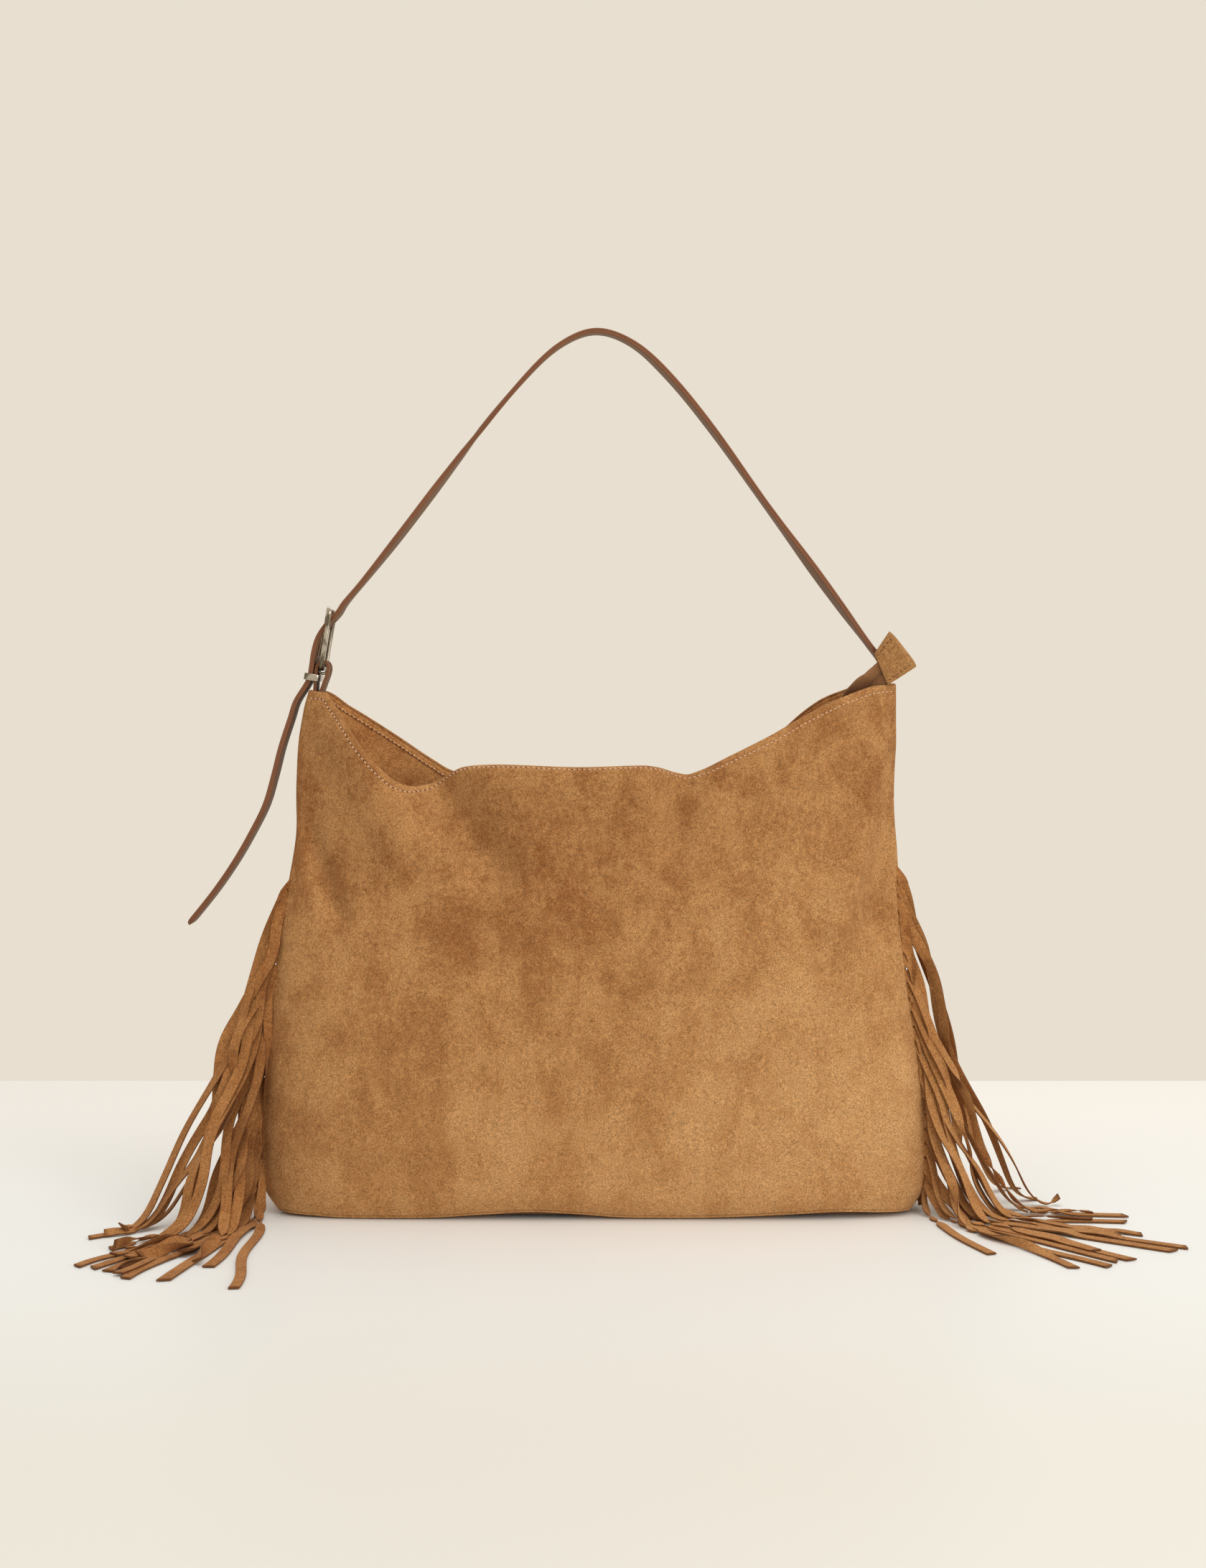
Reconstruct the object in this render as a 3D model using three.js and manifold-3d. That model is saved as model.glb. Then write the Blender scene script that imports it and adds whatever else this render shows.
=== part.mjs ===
// A slouching suede shoulder bag with fringed sides, a buckled strap and a half-open zip.
// Millimetres, +Z up, +X to the right and +Y to the back. The origin is the middle of the base, on the floor.
import * as THREE from "three";
import { mergeVertices } from "three/addons/utils/BufferGeometryUtils.js";
import Module from "manifold-3d";

const wasm = await Module();
wasm.setup();
const { smoothstep, lerp, degToRad } = THREE.MathUtils;
const vec = (x, y, z) => new THREE.Vector3(x, y, z);

// Body: half widths run along X, half depths along Y
const baseHalfWidth = 196;
const bellyHalfWidth = 206.5;
const waistHalfWidth = 184.5;
const mouthHalfWidth = 183.5;
const baseHalfDepth = 50;
const bellyHalfDepth = 60;
const waistHalfDepth = 46;
const mouthHalfDepth = 42;
const gussetHalfBase = 44;
const gussetHalfWaist = 20;
const gussetHalfTop = 12.5;
const baseRounding = 16;
const bellyHeight = 50;
const waistHeight = 245;
const peakHeight = 328;
const leftPeakDrop = 4;
const topLean = 5;
const gussetTuck = 9;
const cornerPower = 10;
const seamShare = 0.8;

// Sheet goods and seams
const panelThickness = 2;
const baseThickness = 2;
const facingThickness = 1;
const liningThickness = 0.6;
const clothThickness = 0.9;
const seamGap = 0.3;
const liningStandOff = 2.4;

// Fringe: one comb of suede strips in each front side seam
const fringeThickness = 1;
const fringeTop = 214;
const stripCount = 22;
const stripPitch = 9.4;
const stripWidth = 7;
const stripLengthTop = 275;
const stripLengthBottom = 185;
const headerInside = 3.8;
const headerOutside = 1.5;
const stripStandOut = 8.5;
const stripFallSlope = 0.22;
const stripTilt = degToRad(48);
const tipTilt = degToRad(20);
const stripSway = 5;
const leftSpread = [5, 84];
const rightSpread = [-32, 64];

// Zip
const zipHeight = 232;
const zipLeftEnd = -158;
const zipJoin = 52;
const zipStraightEnd = 135;
const tapeHalfWidth = 13;
const coilWidth = 1.4;
const coilHeight = 2.2;
const zipSlot = 1.6;
const zipShelf = 4;
const openStart = 8;
const openLength = 120;
const openAngle = degToRad(75);
const sliderLength = 13;
const sliderWidth = 9;
const sliderPlate = 1.2;
const sliderWeb = 1;
const sliderGap = 0.4;
const crownHole = 2.2;
const crownWall = 1.2;
const crownWidth = 2.2;
const pullerLength = 24;
const pullerWidth = 7;
const pullerThickness = 1.4;
const pullerWindow = 3.2;
const tabWidth = 27;
const tabLength = 20.7;
const tabLeaf = 1.3;
const tabTilt = degToRad(33.4);
const tabInsert = 12;

// Strap, buckle and keeper
const strapWidth = 18;
const strapThickness = 3;
const crestHeight = 549.3;
const crestX = 1;
const loopThickness = 2;
const loopWidth = 16;
const frameThickness = 2.8;
const frameBar = 3;
const frameLength = 36;
const frameTilt = degToRad(9.5);
const heelRise = 13.6;
const heelInset = 7.6;
const prongWidth = 3.6;
const prongThickness = 2.2;
const prongSlack = 0.25;
const slotFrom = 6;
const slotTo = 32.5;
const keeperHeight = 4.2;
const keeperThickness = 1.2;
const keeperSlack = 0.5;
const anchorDepth = 30;
const anchorGap = 1.5;

// Materials
const finish = (color, roughness, metalness) =>
  new THREE.MeshStandardMaterial({ color, roughness, metalness });
const suede = finish(0xb07a45, 0.95, 0);
const strapLeather = finish(0x87603f, 0.7, 0);
const metal = finish(0xb8b2a4, 0.25, 1);
const tapeCloth = finish(0x4b301d, 0.9, 0);
const coilNylon = finish(0x6a4a2e, 0.5, 0);
const liningCloth = finish(0x6b4b33, 0.9, 0);

// A smooth function through [position, value] knots that never overshoots them
function curve(knots) {
  const n = knots.length;
  const slope = (i) => (knots[i + 1][1] - knots[i][1]) / (knots[i + 1][0] - knots[i][0]);
  const tangent = knots.map((_, i) => {
    if (i === 0) return slope(0);
    if (i === n - 1) return slope(n - 2);
    const before = slope(i - 1);
    const after = slope(i);
    return before * after <= 0 ? 0 : (2 * before * after) / (before + after);
  });
  return (x) => {
    const at = Math.min(Math.max(x, knots[0][0]), knots[n - 1][0]);
    let i = 0;
    while (i < n - 2 && at > knots[i + 1][0]) i++;
    const h = knots[i + 1][0] - knots[i][0];
    const t = (at - knots[i][0]) / h;
    const a = knots[i][1] * (1 + 2 * t) * (1 - t) ** 2 + tangent[i] * h * t * (1 - t) ** 2;
    const b = knots[i + 1][1] * t * t * (3 - 2 * t) + tangent[i + 1] * h * t * t * (t - 1);
    return a + b;
  };
}

// Geometry from points and triangles, turned so that its faces point out
function closedGeometry(points, triangles) {
  let volume = 0;
  for (const [a, b, c] of triangles) {
    volume += points[a].dot(vec(0, 0, 0).crossVectors(points[b], points[c]));
  }
  const index = triangles.flatMap(([a, b, c]) => (volume < 0 ? [a, c, b] : [a, b, c]));
  return new THREE.BufferGeometry().setFromPoints(points).setIndex(index);
}

// A closed solid between two grids of points that match row by row
function betweenGrids(outer, inner) {
  const rows = outer.length;
  const cols = outer[0].length;
  const points = [...outer.flat(), ...inner.flat()];
  const front = (i, j) => i * cols + j;
  const back = (i, j) => rows * cols + i * cols + j;
  const triangles = [];
  const quad = (a, b, c, d) => triangles.push([a, b, c], [a, c, d]);
  for (let i = 0; i < rows - 1; i++) {
    for (let j = 0; j < cols - 1; j++) {
      quad(front(i, j), front(i, j + 1), front(i + 1, j + 1), front(i + 1, j));
      quad(back(i, j), back(i + 1, j), back(i + 1, j + 1), back(i, j + 1));
    }
    quad(front(i, 0), front(i + 1, 0), back(i + 1, 0), back(i, 0));
    quad(front(i, cols - 1), back(i, cols - 1), back(i + 1, cols - 1), front(i + 1, cols - 1));
  }
  for (let j = 0; j < cols - 1; j++) {
    quad(front(0, j), back(0, j), back(0, j + 1), front(0, j + 1));
    quad(front(rows - 1, j), front(rows - 1, j + 1), back(rows - 1, j + 1), back(rows - 1, j));
  }
  return closedGeometry(points, triangles);
}

// A sheet of even thickness about a grid of points
function sheetSolid(grid, thickness) {
  const rows = grid.length;
  const cols = grid[0].length;
  const shifted = (by) =>
    grid.map((row, i) =>
      row.map((p, j) => {
        const alongRows = grid[Math.min(i + 1, rows - 1)][j].clone().sub(grid[Math.max(i - 1, 0)][j]);
        const alongCols = row[Math.min(j + 1, cols - 1)].clone().sub(row[Math.max(j - 1, 0)]);
        return p.clone().addScaledVector(alongRows.cross(alongCols).normalize(), by);
      }),
    );
  return betweenGrids(shifted(thickness / 2), shifted(-thickness / 2));
}

// Joins and cuts
function solidOf(geometry) {
  const bare = geometry.clone();
  bare.deleteAttribute("normal");
  bare.deleteAttribute("uv");
  const merged = mergeVertices(bare, 1e-4);
  return new wasm.Manifold(
    new wasm.Mesh({
      numProp: 3,
      vertProperties: new Float32Array(merged.attributes.position.array),
      triVerts: new Uint32Array(merged.index.array),
    }),
  );
}
function geometryOf(solid) {
  const made = solid.getMesh();
  return new THREE.BufferGeometry()
    .setAttribute("position", new THREE.BufferAttribute(new Float32Array(made.vertProperties), 3))
    .setIndex(new THREE.BufferAttribute(new Uint32Array(made.triVerts), 1));
}
const joined = (first, ...others) =>
  geometryOf(others.reduce((sum, g) => sum.add(solidOf(g)), solidOf(first)));
const cut = (first, ...others) =>
  geometryOf(others.reduce((rest, g) => rest.subtract(solidOf(g)), solidOf(first)));
const block = (x, y, z, at) => new THREE.BoxGeometry(x, y, z).translate(at.x, at.y, at.z);

const bag = new THREE.Group();
function add(name, geometry, material, parent = bag) {
  const mesh = new THREE.Mesh(geometry, material);
  mesh.name = name;
  parent.add(mesh);
}

// Body section: how wide, deep and rounded the bag is at each height
const midHeight = lerp(bellyHeight, waistHeight, 0.5);
const halfWidth = curve([
  [0, baseHalfWidth],
  [baseRounding, bellyHalfWidth - 1],
  [bellyHeight, bellyHalfWidth],
  [midHeight, lerp(bellyHalfWidth, waistHalfWidth, 0.5)],
  [waistHeight, waistHalfWidth],
  [peakHeight, mouthHalfWidth],
]);
const halfDepth = curve([
  [0, baseHalfDepth],
  [baseRounding, lerp(baseHalfDepth, bellyHalfDepth, 0.7)],
  [bellyHeight, bellyHalfDepth],
  [waistHeight, waistHalfDepth],
  [peakHeight, mouthHalfDepth],
]);
const gussetHalf = curve([
  [0, gussetHalfBase],
  [midHeight, gussetHalfBase - 8],
  [waistHeight, gussetHalfWaist],
  [peakHeight, gussetHalfTop],
]);
const crown = curve([
  [bellyHeight, 6],
  [waistHeight, 2.6],
  [peakHeight, 2],
]);
const tuck = curve([
  [midHeight + 30, 0],
  [waistHeight, gussetTuck],
  [peakHeight - 14, 0.2 * gussetTuck],
  [peakHeight, 0],
]);
const tuckReach = gussetHalfTop * 0.75;
const lean = (z) => topLean * smoothstep(z, waistHeight, peakHeight);

// Folds of the front and back: a soft ridge (+) or valley (-) along a line from one [x, z] to another
const frontFolds = [
  { from: [-103, 272], to: [-62, 214], rise: -11, reach: 15 },
  { from: [-150, 296], to: [-122, 236], rise: 9, reach: 20 },
  { from: [-183, 246], to: [-158, 186], rise: -6, reach: 8 },
  { from: [57, 278], to: [44, 232], rise: -8, reach: 13 },
  { from: [197, 262], to: [176, 190], rise: -8, reach: 12 },
  { from: [178, 268], to: [156, 186], rise: 4, reach: 10 },
  { from: [-45, 270], to: [22, 270], rise: 6, reach: 26 },
];
const backFolds = [
  { from: [-70, 262], to: [-30, 200], rise: -8, reach: 22 },
  { from: [90, 280], to: [60, 205], rise: -7, reach: 20 },
];
function foldDepth(folds, x, z) {
  const spot = new THREE.Vector2(x, z);
  return folds.reduce((sum, { from, to, rise, reach }) => {
    const start = new THREE.Vector2(...from);
    const along = new THREE.Vector2(...to).sub(start);
    const t = Math.min(Math.max(spot.clone().sub(start).dot(along) / along.lengthSq(), 0), 1);
    const away = spot.distanceTo(start.addScaledVector(along, t));
    return sum + rise * Math.exp(-((away / reach) ** 2));
  }, 0);
}

// A point of the body wall: t runs from 0, the middle of a side, to a quarter turn, the middle of the front or back
function wallPoint(half, side, t, z, inset) {
  const roundX = Math.cos(t) ** (2 / cornerPower);
  const roundY = Math.sin(t) ** (2 / cornerPower);
  const end = gussetHalf(z) - inset;
  const bow = (halfDepth(z) - gussetHalf(z)) * (1 - roundX ** crown(z));
  const plainX = side * (halfWidth(z) - inset) * roundX + lean(z);
  const fade = smoothstep(1 - roundX, 0, 0.1) * smoothstep(z, 0, baseRounding * 2);
  const fold = foldDepth(half < 0 ? frontFolds : backFolds, plainX, z) * fade;
  const depth = end * roundY + bow + fold;
  const pulled = side * tuck(z) * Math.exp(-((depth / tuckReach) ** 2));
  return vec(plainX - pulled, half * depth, z);
}
const quarter = Math.PI / 2;
const seamAngle = Math.asin(seamShare ** (cornerPower / 2));

// Columns of a front or back panel, spread evenly from the left seam to the right one
function panelColumns(count) {
  const steps = 400;
  const place = (k) => lerp(seamAngle, quarter, k / steps);
  const along = [0];
  for (let k = 1; k <= steps; k++) {
    const a = wallPoint(1, 1, place(k - 1), bellyHeight, 0);
    along.push(along[k - 1] + a.distanceTo(wallPoint(1, 1, place(k), bellyHeight, 0)));
  }
  const angles = [];
  for (let c = 0; c <= count / 2; c++) {
    const want = (along[steps] * 2 * c) / count;
    const k = Math.max(along.findIndex((length) => length >= want - 1e-9), 1);
    const part = (want - along[k - 1]) / (along[k] - along[k - 1]);
    angles.push(lerp(place(k - 1), place(k), part));
  }
  const right = angles.map((t, c) => ({ side: 1, t, share: 1 - (2 * c) / count }));
  const left = angles.map((t, c) => ({ side: -1, t, share: -1 + (2 * c) / count }));
  return [...left.slice(0, -1), ...right.reverse()];
}

// Rims: how far the mouth's edge drops below the right peak, along the share of the mouth's half width
const frontRim = curve([
  [-1, leftPeakDrop],
  [-0.9, 8],
  [-0.815, 27],
  [-0.745, 46],
  [-0.66, 59],
  [-0.6, 62],
  [-0.548, 61],
  [-0.505, 57],
  [-0.45, 51],
  [-0.326, 48.7],
  [-0.04, 50.8],
  [0.157, 49.4],
  [0.255, 51.4],
  [0.31, 54.6],
  [0.38, 50.4],
  [0.52, 38],
  [0.73, 17],
  [0.87, 5],
  [1, 0],
]);
const backRim = curve([
  [-1, leftPeakDrop],
  [-0.85, 14],
  [-0.7, 31],
  [-0.5, 55],
  [-0.2, 70],
  [0.05, 74],
  [0.3, 66],
  [0.55, 42],
  [0.667, 27],
  [0.73, 16],
  [0.85, 5],
  [1, 0],
]);
const rimHeight = (half, share) => peakHeight - (half < 0 ? frontRim : backRim)(share);

// Base plate, outlined by the foot of the walls
const wallFoot = baseThickness + seamGap;
const gussetAngle = (share) => Math.asin((Math.abs(share) * seamShare) ** (cornerPower / 2));
function ringColumns(frontCount, backCount) {
  const end = (side, shares) => shares.map((share) => ({ half: share < 0 ? -1 : 1, side, t: gussetAngle(share) }));
  const front = panelColumns(frontCount).map((c) => ({ ...c, half: -1 }));
  const back = panelColumns(backCount).map((c) => ({ ...c, half: 1 })).reverse();
  return [...front, ...end(1, [-0.6, -0.2, 0.2, 0.6]), ...back, ...end(-1, [0.6, 0.2, -0.2, -0.6])];
}
function basePlate() {
  const outline = ringColumns(20, 20).map(({ half, side, t }) => {
    const p = wallPoint(half, side, t, 0, 0);
    return new THREE.Vector2(p.x, p.y);
  });
  return new THREE.ExtrudeGeometry(new THREE.Shape(outline), { depth: baseThickness, bevelEnabled: false });
}
add("base_panel", basePlate(), suede);

// Front and back panels: level rows up to the zip, then rows that share out the height to the rim
const lowerRows = [wallFoot, baseRounding / 3, baseRounding, 38, 70, 105, 140, 175, fringeTop + 2, zipHeight];
const upperShares = [0.35, 0.7, 1];
const seamHalfGap = (z) => {
  const fringeRoom = fringeThickness / 2 + seamGap;
  return z < fringeTop + 3 ? fringeRoom : seamGap / 2;
};
function panelGrid(half, columns, rows, inset) {
  return rows.map((row) =>
    columns.map(({ side, t, share }) => {
      const z = row.level ?? lerp(zipHeight, rimHeight(half, share), row.share);
      const p = wallPoint(half, side, t, z, inset);
      if (Math.abs(share) === 1) p.y = wallPoint(half, side, t, z, 0).y + half * seamHalfGap(z);
      return p;
    }),
  );
}
const lowerLevels = lowerRows.map((level) => ({ level }));
const upperLevels = upperShares.map((share) => ({ share }));
const frontColumns = panelColumns(34);
const backColumns = panelColumns(24);
function panel(half, columns) {
  const rows = [...lowerLevels, ...upperLevels];
  return betweenGrids(panelGrid(half, columns, rows, 0), panelGrid(half, columns, rows, panelThickness));
}
add("front_panel", panel(-1, frontColumns), suede);
add("back_panel", panel(1, backColumns), suede);

// Gussets: the narrow side walls between the two seams
function gusset(side) {
  const top = rimHeight(-1, side);
  const rows = [...lowerRows, lerp(zipHeight, top, 0.35), lerp(zipHeight, top, 0.7), top];
  const across = [-1, -0.7, -0.4, -0.15, 0.15, 0.4, 0.7, 1];
  const grid = (inset) =>
    rows.map((z) =>
      across.map((share) => {
        const half = share < 0 ? -1 : 1;
        const t = gussetAngle(share);
        const p = wallPoint(half, side, t, z, inset);
        if (Math.abs(share) === 1) p.y = wallPoint(half, side, t, z, 0).y - half * seamHalfGap(z);
        return p;
      }),
    );
  return betweenGrids(grid(0), grid(panelThickness));
}
add("left_gusset", gusset(-1), suede);
add("right_gusset", gusset(1), suede);

// Facings: suede bands inside the rim, down to the zip, between the two ends of the mouth
const facingInset = panelThickness + seamGap;
function facing(half, columns) {
  const middle = columns.filter(({ share }) => Math.abs(share) < 0.86);
  const rows = [{ level: zipHeight }, ...upperLevels];
  const grid = (inset) => panelGrid(half, middle, rows, inset);
  return betweenGrids(grid(facingInset), grid(facingInset + facingThickness));
}
add("front_facing", facing(-1, frontColumns), suede);
add("back_facing", facing(1, backColumns), suede);

// Lining: a thin open bag that stands off the walls and hangs from the facings
function lining() {
  const columns = ringColumns(frontColumns.length - 1, backColumns.length - 1);
  const top = zipHeight - clothThickness - 2 * seamGap;
  const floor = baseThickness + seamGap;
  const levels = [floor, baseRounding, 140, fringeTop + 2, top];
  const inset = panelThickness + liningStandOff;
  const ring = (extra, lift) =>
    levels.map((z, i) =>
      columns.map(({ half, side, t }) => {
        const p = wallPoint(half, side, t, z, inset + extra);
        return i === 0 ? p.setZ(z + lift) : p;
      }),
    );
  const outer = ring(0, 0);
  const inner = ring(liningThickness, liningThickness);
  const n = columns.length;
  const size = levels.length * n;
  const points = [...outer.flat(), ...inner.flat(), vec(0, 0, floor), vec(0, 0, floor + liningThickness)];
  const triangles = [];
  const last = (levels.length - 1) * n;
  for (let j = 0; j < n; j++) {
    const k = (j + 1) % n;
    for (let i = 0; i < last; i += n) {
      triangles.push([i + j, i + k, i + n + k], [i + j, i + n + k, i + n + j]);
      triangles.push([size + i + j, size + i + n + k, size + i + k]);
      triangles.push([size + i + j, size + i + n + j, size + i + n + k]);
    }
    triangles.push([last + j, last + k, size + last + k], [last + j, size + last + k, size + last + j]);
    triangles.push([2 * size, k, j], [2 * size + 1, size + j, size + k]);
  }
  return closedGeometry(points, triangles);
}
add("lining", lining(), liningCloth);

// Fringe: a header caught in the seam and strips that stand out, fall and run along the floor
function seamPoint(side, z) {
  const above = Math.max(lowerRows.findIndex((row) => row > z), 1);
  const [low, high] = [lowerRows[above - 1], lowerRows[above]];
  const at = (row) => wallPoint(-1, side, seamAngle, row, 0);
  return at(low).lerp(at(high), (z - low) / (high - low));
}
function fringeHeader(side) {
  const bottom = fringeTop - stripCount * stripPitch;
  const between = lowerRows.filter((row) => row > bottom + 1 && row < fringeTop - 1);
  const grid = [bottom, ...between, fringeTop].map((z) => {
    const p = seamPoint(side, z);
    const place = (out) => vec(p.x + side * out, p.y, p.z);
    return [place(-headerInside), place(headerOutside)];
  });
  return sheetSolid(grid, fringeThickness);
}
const chance = (i, k) => Math.abs(Math.sin(i * 12.9898 + k * 78.233) * 43758.5453) % 1;
function fringeStrip(side, i) {
  const z = fringeTop - stripPitch * (i + 0.5);
  const sway = (k) => 2 * chance(i + (side < 0 ? 40 : 0), k) - 1;
  const alongSeam = seamPoint(side, z + 1).sub(seamPoint(side, z - 1)).normalize();
  const [from, to] = side < 0 ? leftSpread : rightSpread;
  const angle = degToRad(lerp(from, to, i / (stripCount - 1)));
  const outward = vec(side, 0, 0);
  const heading = vec(side * Math.cos(angle), -Math.sin(angle), 0);
  const across = vec(Math.sin(angle), side * Math.cos(angle), 0);
  const tilted = (tilt) => across.clone().multiplyScalar(Math.cos(tilt)).setZ(-side * Math.sin(tilt));
  const lift = (tilt) => (stripWidth / 2) * Math.sin(tilt) + fringeThickness * 0.6;
  const floor = lift(stripTilt);
  const drop = z - floor;
  const edge = Math.min(8, drop * 0.4);
  const foot = Math.min(10, drop * 0.4);
  const length = lerp(stripLengthTop, stripLengthBottom, i / (stripCount - 1));
  const landing = stripFallSlope * drop + 6;
  const lying = Math.max(length - drop - stripStandOut - 6, 20) * (1 + 0.08 * sway(1));
  const at = (out, ahead, down, aside = 0) => {
    const seam = seamPoint(side, Math.max(z - down, lowerRows[0]));
    seam.addScaledVector(outward, out).addScaledVector(heading, ahead).addScaledVector(across, aside);
    return seam.setZ(z - down);
  };
  const falling = lowerRows
    .filter((row, k) => k % 2 === 1 && row < z - edge - 4 && row > floor + foot + 4)
    .reverse()
    .map((row) => ({ p: at(stripStandOut, stripFallSlope * (z - row), z - row), wide: across }));
  const route = [
    { p: at(headerOutside * 0.3, 0, 0), wide: alongSeam },
    { p: at(stripStandOut * 0.5, 0, edge * 0.06), wide: alongSeam },
    { p: at(stripStandOut * 0.85, 0.2, edge * 0.4), wide: alongSeam.clone().lerp(across, 0.5) },
    { p: at(stripStandOut, stripFallSlope * edge, edge), wide: across },
    ...falling,
    { p: at(stripStandOut, stripFallSlope * (drop - foot), drop - foot), wide: across },
    { p: at(stripStandOut, stripFallSlope * drop + 0.8, drop - foot * 0.3), wide: tilted(stripTilt / 2) },
    { p: at(stripStandOut, landing, drop), wide: tilted(stripTilt) },
    { p: at(stripStandOut, landing + lying * 0.5, drop, stripSway * 0.3 * sway(2)), wide: tilted(stripTilt) },
    { p: at(stripStandOut, landing + lying, z - lift(tipTilt), stripSway * sway(3)), wide: tilted(tipTilt) },
  ];
  const grid = route.map(({ p, wide }) => {
    const reach = wide.clone().setLength(stripWidth / 2);
    return [p.clone().sub(reach), p.clone().add(reach)];
  });
  return sheetSolid(grid, fringeThickness);
}
function fringe(side) {
  const strips = Array.from({ length: stripCount }, (_, i) => fringeStrip(side, i));
  return joined(fringeHeader(side), ...strips);
}
add("left_fringe", fringe(-1), suede);
add("right_fringe", fringe(1), suede);

// Zip: cloth panels hang from the facings, the tapes carry the coils and meet at the slider
const zipLevel = zipHeight - seamGap - clothThickness / 2;
const facingMiddle = facingInset + facingThickness / 2;
function facingDepth(half, x) {
  const share = Math.min(Math.abs(x - lean(zipHeight)) / (halfWidth(zipHeight) - facingMiddle), 1);
  const t = Math.acos(share ** (cornerPower / 2));
  return Math.abs(wallPoint(half, Math.sign(x) || 1, t, zipHeight, facingMiddle).y);
}

// The free end of the zip climbs out of the mouth at the right peak and turns to face the front
const tabAlong = vec(Math.cos(tabTilt), 0, Math.sin(tabTilt));
const tabAcross = vec(Math.sin(tabTilt), 0, -Math.cos(tabTilt));
const tabMouth = vec(mouthHalfWidth - 5.2, -gussetHalfTop, peakHeight + 13.4);
const tailRoute = new THREE.CatmullRomCurve3([
  vec(zipStraightEnd, 0, zipLevel),
  vec(zipStraightEnd + 13, 0, zipLevel + 9),
  vec(mouthHalfWidth - 27, 0, lerp(zipLevel, peakHeight, 0.35)),
  vec(mouthHalfWidth - 22, 0, lerp(zipLevel, peakHeight, 0.65)),
  vec(mouthHalfWidth - 19, -2, peakHeight - 8),
  vec(mouthHalfWidth - 14, -7, peakHeight + 8),
  tabMouth,
  tabMouth.clone().addScaledVector(tabAlong, tabInsert),
]);
const tailTurn = vec(0, -1, 0);
function tailStation(half, t) {
  const p = tailRoute.getPointAt(t);
  const ahead = tailRoute.getTangentAt(t);
  const wide = tailTurn.clone().lerp(tabAcross, smoothstep(t, 0.6, 0.9));
  wide.addScaledVector(ahead, -wide.dot(ahead)).setLength(-half);
  return (away) => p.clone().addScaledVector(wide, away);
}
function straightStation(half, x) {
  const wall = facingDepth(half, x);
  const hang = openAngle * smoothstep(zipJoin - openStart - x, 0, openLength);
  const width = facingDepth(half, Math.max(x, zipJoin - openStart)) - zipSlot / 2;
  return (away) => {
    const out = width + zipSlot / 2 - away;
    const past = Math.max(out - zipShelf, 0);
    const inward = Math.min(out, zipShelf) + past * Math.cos(hang);
    return vec(x, half * (wall - inward), zipLevel - past * Math.sin(hang));
  };
}
function zipPlaces(half) {
  const columns = half < 0 ? frontColumns : backColumns;
  const places = columns.map(({ side, t }) => wallPoint(half, side, t, zipHeight, facingMiddle).x);
  const inside = places.filter((x) => x > zipLeftEnd + 4 && x < zipStraightEnd - 4);
  return [zipLeftEnd, ...inside, zipStraightEnd];
}
function zipRow(half) {
  const tailSteps = 12;
  const row = zipPlaces(half).slice(0, -1).map((x) => straightStation(half, x));
  for (let k = 0; k <= tailSteps; k++) row.push(tailStation(half, k / tailSteps));
  return row;
}
const coilFrom = zipSlot / 2;
const coilTo = coilFrom + coilWidth;
const tapeFrom = coilTo + seamGap;
const tapeTo = tapeHalfWidth;
function zipPanel(half) {
  const grid = zipPlaces(half).map((x) => {
    const width = facingDepth(half, Math.max(x, zipJoin - openStart));
    const knee = width - zipShelf;
    return [width, knee, tapeTo + seamGap].map(straightStation(half, x));
  });
  return sheetSolid(grid, clothThickness);
}
for (const [word, half] of [["front", -1], ["back", 1]]) {
  const row = zipRow(half);
  add(`zip_panel_${word}`, zipPanel(half), liningCloth);
  add(`zip_tape_${word}`, sheetSolid(row.map((s) => [s(tapeFrom), s(tapeTo)]), clothThickness), tapeCloth);
  add(`zip_coil_${word}`, sheetSolid(row.map((s) => [s(coilFrom), s(coilTo)]), coilHeight), coilNylon);
}

// Slider: two plates on a thin web between the coils, with a crown that holds the puller
function slider() {
  const plateLow = coilHeight / 2 + sliderGap;
  const plateTop = plateLow + sliderPlate;
  const plate = (z) => block(sliderLength, sliderWidth, sliderPlate, vec(0, 0, z));
  const web = block(sliderLength * 0.6, sliderWeb, 2 * plateTop, vec(0, 0, 0));
  const crown = block(crownHole + 2 * crownWall, crownWidth, crownHole + crownWall + 0.2,
    vec(0, 0, plateTop + (crownHole + crownWall - 0.2) / 2));
  const hole = block(crownHole, crownWidth * 2, crownHole, vec(0, 0, plateTop + crownHole / 2));
  const whole = joined(plate(plateLow + sliderPlate / 2), plate(-plateLow - sliderPlate / 2), web, crown);
  return cut(whole, hole);
}
const pullerPivot = coilHeight / 2 + sliderGap + sliderPlate + crownHole / 2;
function puller() {
  const plate = block(pullerLength, pullerWidth, pullerThickness, vec(-pullerLength / 2 + pullerThickness / 2, 0, 0));
  const side = (pullerWidth - crownWidth) / 2 - 1.2;
  const window = block(pullerWindow, pullerWidth - 2 * side, pullerThickness * 2,
    vec(-pullerThickness / 2 - pullerWindow / 2, 0, 0));
  return cut(plate, window);
}
const zipCarriage = new THREE.Group();
zipCarriage.position.set(zipJoin, 0, zipLevel);
bag.add(zipCarriage);
add("zip_slider", slider(), metal, zipCarriage);
const pullerGroup = new THREE.Group();
pullerGroup.position.z = pullerPivot;
zipCarriage.add(pullerGroup);
add("zip_puller", puller(), metal, pullerGroup);

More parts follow.
